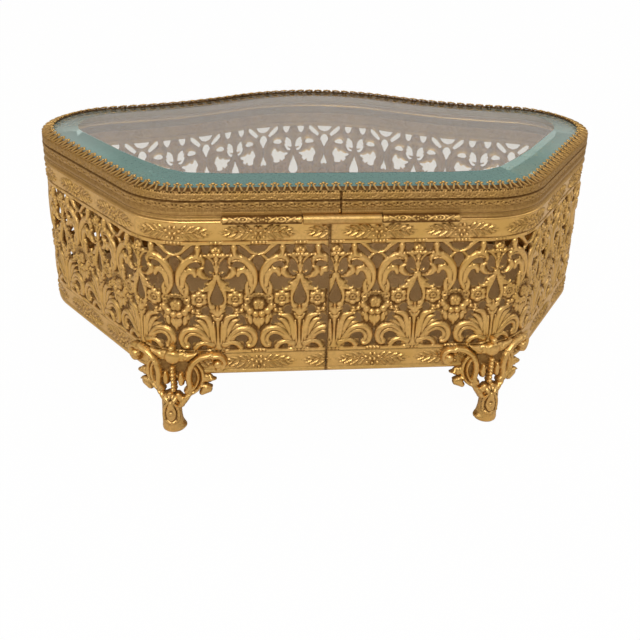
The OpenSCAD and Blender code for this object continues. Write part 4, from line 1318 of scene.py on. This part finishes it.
foot = {
    "places": {"foot_back_left": (-63.0, 1), "foot_back_right": (61.4, -1),
               "foot_front_left": (-200.0, -1), "foot_front_right": (200.0, 1)},
    "reach": 21.6, "low": -13.8, "high": 14.0, "cell": 0.29, "step": 8.6,
    # right half of the openwork: top, edge, groove, then run, height and half width
    "strokes": [
        (1.9, 1.0, 0.0, [(0, 5.5, 0.7), (0, -7.5, 0.7)]),
        (1.2, 1.0, 0.0, [(0, -0.8, 2.2), (3.5, -0.8, 2.1)]),
        (1.0, 0.9, 0.0, [(0, 3.6, 2.4), (4.6, 3.6, 2.2)]),
        (1.2, 1.0, 0.0, [(10.3, 0.8, 0.9), (10.9, -2.0, 0.9), (10.6, -4.6, 0.9)]),
        (1.2, 1.0, 0.0, [(9.6, -1.2, 0.9), (9.7, -4.4, 0.9)]),
        (1.2, 1.0, 0.0, [(7.8, 3.0, 1.7), (8.4, 0.0, 1.7), (7.6, -4.0, 1.5)]),
        (2.5, 1.1, 0.0, [(0, 8.0, 2.3), (5.0, 8.0, 2.0)]),
        (2.5, 1.2, 0.25, [(4.8, 8.2, 1.5), (6.9, 8.7, 1.1), (9.0, 10.0, 0.35)]),
        (3.5, 1.6, 0.0, [(0, 8.0, 3.0)]),
        (3.0, 1.3, 0.0, [(2.8, 1.0, 0.8), (2.85, -1.4, 1.4), (2.8, -3.5, 1.1)]),
        (2.4, 1.1, 0.0, [(12.0, -1.5, 1.8), (13.2, -1.6, 1.8)]),
        (2.5, 1.1, 0.0, [(14.0, -1.7, 1.1), (16.0, -1.8, 0.3)]),
        (2.2, 1.0, 0.0, [(10.4, -8.0, 1.1), (12.3, -6.2, 2.2)]),
        (2.8, 1.2, 0.0, [(10.2, -4.6, 0.6), (12.2, -4.4, 0.62), (14.2, -5.2, 0.5)]),
        (3.1, 1.5, 0.4, [(1.5, -8.4, 1.0), (2.1, -9.8, 1.4), (2.9, -11.6, 1.3), (2.6, -13.6, 1.0)]),
        (3.3, 1.6, 0.0, [(6.0, -7.6, 0.9), (4.2, -10.2, 1.3), (2.6, -12.6, 1.3), (1.6, -13.4, 1.0)]),
        (3.3, 1.5, 0.0, [(14.4, 9.0, 1.3), (10.5, 8.1, 1.3), (7.6, 5.7, 1.3), (6.1, 2.8, 1.3), (5.6, 0.0, 1.3),
                         (5.7, -2.6, 1.25), (5.9, -5.0, 1.2), (4.6, -6.8, 1.1)]),
    ],
    "arcs": [
        {"centre": (1.2, -0.6), "r": 7.9, "from": 44, "to": -64, "width": 0.7, "top": 2.5},
        {"centre": (2.3, -0.6), "r": 8.65, "from": 38, "to": -68, "width": 0.8, "top": 2.1},
        {"centre": (16.4, 5.7), "r": 2.9, "from": 120, "to": -80, "width": 1.3, "top": 3.25},
    ],
    # drawn over the strokes: top, edge and place of each dome, then the creases
    "lobes": [(3.5, 1.4, (16.7, 5.0, 1.95)), (3.3, 1.6, (14.6, 6.6, 0.6))],
    "creaseDepth": 0.55,
    "creases": [[(14.6, 3.6, 0.3), (14.9, 5.6, 0.3), (15.9, 6.6, 0.3)], [(12.2, 0.2, 0.3), (12.2, -3.2, 0.3)],
                [(13.3, 0.1, 0.3), (13.3, -3.2, 0.3)], [(3.6, 6.6, 0.3), (3.9, 8.4, 0.3), (4.9, 9.6, 0.25)],
                [(5.4, 7.4, 0.25), (7.0, 8.6, 0.25)], [(0, -7.2, 0.35), (0, -10.0, 0.35)]],
    # the beads down the middle: height of the top one, step, count and radius; and the ball above them
    "beads": (3.6, -1.62, 7, 1.08), "ball": (0, 12.2, 1.45),
    # face and back of the openwork as insets; the back steps in behind the wall's foot
    "face": -0.1, "leastRelief": 0.95, "backs": (-0.12, -0.65), "leastThickness": 0.3,
    # below the ground height the openwork, with its low web behind the scrolls, is painted dark as shade
    "ground": 1.3, "groundShade": 0.8,
    # height and radius down the leg, then height and sideways shift
    "leg": [(-25.0, 4.0), (-24.7, 4.3), (-23.8, 4.45), (-22.0, 4.25), (-20.0, 4.05), (-17.0, 3.9), (-15.0, 3.85),
            (-13.0, 3.85), (-11.0, 3.8), (-9.9, 3.4), (-9.2, 2.8), (-8.6, 2.0), (-8.2, 1.2)],
    "legShift": [(-25, 1.35), (-22.5, 1.4), (-19, 1.8), (-7, 1.8)],
    "legRows": (-25, -8.19, 0.3), "around": 84, "legIn": -0.1,
    "toe": 1.0, "toeHeight": -23.4, "toeSpread": 1.1, "toeTurn": 0.2,
    "leaf": [(0, -11.4, 0.5), (0, -13.4, 1.2), (0, -16.4, 2.0), (0, -18.0, 1.7), (0, -19.2, 0.8)],
    "straps": [[(3.3, -8.4, 0.8), (2.0, -10.4, 0.9), (0.7, -12.0, 0.7)],
               [(0.9, -12.0, 0.6), (2.6, -14.2, 0.7), (3.3, -17.0, 0.6), (2.8, -19.4, 0.5)]],
    "leafDent": (0.5, 0, -15.6, 1.25), "leafBead": (0, -16.6, 0.9), "parting": [(0, -7.4, 0.5), (0, -11.0, 0.35)],
    "ridge": {"height": -20.6, "bow": 0.1, "half": 0.45, "reach": 0.95, "rise": 0.4},
    "lug": ((-2.9, -1.6, -1.15), (2.9, 9.9, -0.05)), "lugRounding": 0.2,
}


def arcPoints(values, steps=12):
    (u, z), r = values["centre"], values["r"]
    rows = []
    for k in range(steps + 1):
        angle = math.radians(values["from"] + (values["to"] - values["from"]) * k / steps)
        rows.append((u + r * math.cos(angle), z + r * math.sin(angle), values["width"]))
    return rows


def openworkTile(values):
    relief = Relief(*gridOf(0, values["reach"], values["low"], values["high"], values["cell"]))
    relief.metal[:] = -wellInside
    for top, base, groove, points in values["strokes"]:
        relief.stroke(top, points, groove, base)
    for part in values["arcs"]:
        relief.stroke(part["top"], arcPoints(part), 0, 1.1)
    for top, base, place in values["lobes"]:
        relief.stroke(top, [place], base=base)
    for points in values["creases"]:
        relief.crease(values["creaseDepth"], points)
    top, step, count, r = values["beads"]
    for k in range(count):
        relief.stroke(3.9, [(0, top + k * step, r)], base=2.2)
    relief.stroke(3.8, [values["ball"]], base=1.6)
    u = np.vstack([-relief.u[:0:-1], relief.u])
    z, metal, height = (bothHalves(field) for field in (relief.z, relief.metal, relief.height))
    height = blur(height, 1, False) * 0.5 + height * 0.5
    # painted shade: whatever lies below the ground height is darkened as the shadow behind the scrolls
    recess = np.maximum(recessOf(height, 3, 1.3, False), values["groundShade"] * (height < values["ground"]))
    face = values["face"] - np.maximum(height, values["leastRelief"])
    low, high = values["backs"]
    back = np.maximum(np.where(z > values["step"], high, low), face + values["leastThickness"])
    return sheetMesh("openwork", u, z, face, back, metal, recess, False)


def legMesh(values, toe):  # toe is the side that the toe points to
    around = values["around"]
    heights = np.arange(*values["legRows"])[:, None]
    turn = np.arange(around) * math.tau / around
    radius = np.interp(heights, *zip(*values["leg"])) * np.ones(around)
    front = (turn - toe * values["toeTurn"] + math.pi) % math.tau - math.pi
    field = Relief(front * radius, np.broadcast_to(heights, radius.shape))
    for side in (-1, 1):
        for points in values["straps"]:
            field.stroke(0.6, [(side * u, z, r) for u, z, r in points], 0, 0.15, 0.25)
    field.stroke(0.75, values["leaf"], 0, 0.15, 0.4)
    field.dent(*values["leafDent"])
    field.stroke(0.95, [values["leafBead"]], 0, 0.3, 0.1)
    field.crease(0.5, values["parting"])
    ridge = values["ridge"]
    off = (field.z - ridge["height"] - ridge["bow"] * field.u ** 2) / ridge["half"]
    field.height += ridge["rise"] * np.exp(-off ** 2) * (np.abs(front) < ridge["reach"])
    swell = values["toe"] * np.exp(-((heights - values["toeHeight"]) / values["toeSpread"]) ** 2)
    out = radius + field.height + swell * np.clip(np.cos(turn - math.pi / 2 * toe), 0, 1) ** 3
    x = out * np.sin(turn) - toe * np.interp(heights, *zip(*values["legShift"]))
    y = values["legIn"] - out * np.cos(turn)
    recess = np.clip(blur(field.height, 2, False) - field.height, 0, 1) / 0.22
    # painted shade: the top of the leg, under the openwork, is darker
    recess = np.clip(recess + 0.25 * (heights > -9.0), 0, 1)
    work = bmesh.new()
    shade = work.verts.layers.float.new("recess")
    skin(work, [ringOf(work, zip(*row), shade, depths) for *row, depths in zip(x, y, field.z, recess)])
    bmesh.ops.recalc_face_normals(work, faces=work.faces)
    return shadeAs(toMesh("leg", work), 50)


def makeFeet(values):
    print("feet")
    tile = openworkTile(values)
    for node, (s, toe) in values["places"].items():
        arms = alongWall(node + "_scrolls", tile, finishes["gilt"], s, sharp=60)
        leg = legMesh(values, toe)
        leg.transform(standOn(s))
        leg = placeMesh(node + "_leg", leg, finishes["gilt"])
        lug = boxOf(node + "_lug", *values["lug"], finishes["brown"], values["lugRounding"], s)
        for piece in (arms, leg, lug):
            settle(piece, "case", "gilt_brass", node)


# small turned pieces: lathe rows of radius and height

turned = {
    "screw": [(0, -2.25), (0.9, -2.2), (1.5, -2.0), (1.82, -1.6), (1.86, -1.25), (1.0, -1.2), (0.98, 0.98),
              (0, 1.0)],
    "rivet": [(0, -0.46), (0.45, -0.4), (0.8, -0.24), (1.02, -0.02), (0.7, 0.0), (0.68, 1.0), (1.0, 1.02),
              (0.9, 1.22), (0, 1.29)],
    "slotHalf": 0.5, "slotBelow": -1.9, "slotFloor": -1.75, "screwInset": 7.0, "rivetPlace": (7.1, 0, 5),
}


def lathe(rows, steps=28):
    work = bmesh.new()
    angles = [math.tau * k / steps for k in range(steps)]
    rings = []
    for r, z in rows:
        ring = ringOf(work, [(r * math.cos(a), r * math.sin(a), z) for a in (angles if r else [0])])
        rings.append(ring if r else ring * steps)
    skin(work, rings, False)
    bmesh.ops.recalc_face_normals(work, faces=work.faces)
    return work


def makeSmall(values):
    print("screws and rivet")
    for index, place in enumerate(foot["places"].values()):
        work = lathe(values["screw"])
        for corner in work.verts:  # driver slot across the head
            if corner.co.z / mm < values["slotBelow"] and abs(corner.co.x / mm) < values["slotHalf"]:
                corner.co.z = values["slotFloor"] * mm
        work.transform(standOn(place[0], values["screwInset"], 0))
        screw = fromBmesh(f"foot_screw_{index + 1}", work, finishes["brown"])
        settle(screw, "case", "aged_brass", "foot_screws")
    work = lathe(values["rivet"])
    work.transform(standOn(*values["rivetPlace"]) @ Matrix.Rotation(-math.pi / 2, 4, "X"))
    settle(fromBmesh("rivet_head", work, finishes["brown"]), "case", "aged_brass", "band_rivet")


# padded velvet on its board

pad = {
    "edge": 2.1, "rows": [(0.4, 2.55), (0.0, 3.4), (0.0, 4.9), (0.7, 5.9), (4.0, 6.7)],
    "voxel": 2.0, "pressure": 4.0, "quality": 4, "frames": 20,
    # furthest that the stuffing may push, inset of the fence round it, and lowest and highest places
    "push": 1.2, "fence": 1.5, "lowest": 2.5, "highest": 8.4,
}


def stuff(piece, values):
    cloth = piece.modifiers.new("stuffing", "CLOTH")
    cloth.settings.use_pressure = True
    cloth.settings.uniform_pressure_force = values["pressure"]
    cloth.settings.effector_weights.gravity = 0
    cloth.settings.quality = values["quality"]
    for step in range(1, values["frames"] + 1):
        scene.frame_set(step)
    applyModifiers(piece)
    scene.frame_set(1)


def fenceIn(place, inset):  # moves what is past an outline back onto it
    fence = np.array(outline(inset)) * mm
    ahead = np.roll(fence, -1, 0) - np.roll(fence, 1, 0)
    inward = np.stack([-ahead[:, 1], ahead[:, 0]], 1)
    inward /= np.linalg.norm(inward, axis=1)[:, None]
    near = np.argmin(((place[:, None, :2] - fence[None]) ** 2).sum(2), 1)
    out = ((place[:, :2] - fence[near]) * inward[near]).sum(1)
    place[:, :2] += inward[near] * np.maximum(-out, 0)[:, None]


def makePad(values):
    print("velvet pad")
    work = bmesh.new()
    base = plan["footHeight"]
    skin(work, [ringOf(work, [(x, y, z + base) for x, y in outline(values["edge"] + inset, 3.0)])
                for inset, z in values["rows"]])
    piece = fromBmesh("padded_velvet", work, finishes["velvet"], sharp=180)
    remesh = piece.modifiers.new("even_mesh", "REMESH")
    remesh.mode = "VOXEL"
    remesh.voxel_size = values["voxel"] * mm
    applyModifiers(piece)
    rest = np.array([corner.co for corner in piece.data.vertices])
    stuff(piece, values)
    moved = np.array([corner.co for corner in piece.data.vertices]) - rest
    far = np.linalg.norm(moved, axis=1)[:, None]
    place = rest + moved * np.minimum(1, values["push"] * mm / np.maximum(far, 1e-9))
    fenceIn(place, values["fence"])
    place[:, 2] = np.clip(place[:, 2], (base + values["lowest"]) * mm, (base + values["highest"]) * mm)
    piece.data.vertices.foreach_set("co", place.ravel())
    piece.data.update()
    smooth = piece.modifiers.new("smooth", "SUBSURF")
    smooth.levels = smooth.render_levels = 1
    applyModifiers(piece)
    shadeAs(piece.data)
    settle(piece, "case", "brown_velvet", "velvet_pad")


# build

makeCamera(cameraValues)
makeLamps(studio["lamps"])
makeFloor(studio)
makeSky(studio)
finishes = {
    "gilt": goldFinish("gilt_brass"),
    "brown": goldFinish("aged_brass", polish=0.42, brown=0.3),
    "dark": goldFinish("dark_brass", polish=0.4, brown=0.9),
    "solder": goldFinish("solder", polish=0.2),
    "glass": glassFinish(),
    "velvet": velvetFinish(),
    "board": boardFinish(),
}
bandTree = wallTree()
wallPath = pathObject("wall_path")
makeWall()
makeRim(rim)
makeLidFrame(lidBand)
makeGallery(galleryBand)
makeGlass(glass)
makeHinge()
makeFeet(foot)
makeSmall(turned)
makePad(pad)
for node, finish in (("floor_plate", "brown"), ("pad_board", "board")):  # plain sheet pieces keep their own mesh
    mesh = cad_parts[node].data
    mesh.materials.clear()
    mesh.materials.append(finishes[finish])
bpy.data.objects.remove(wallPath)
scene.view_settings.view_transform = "Standard"
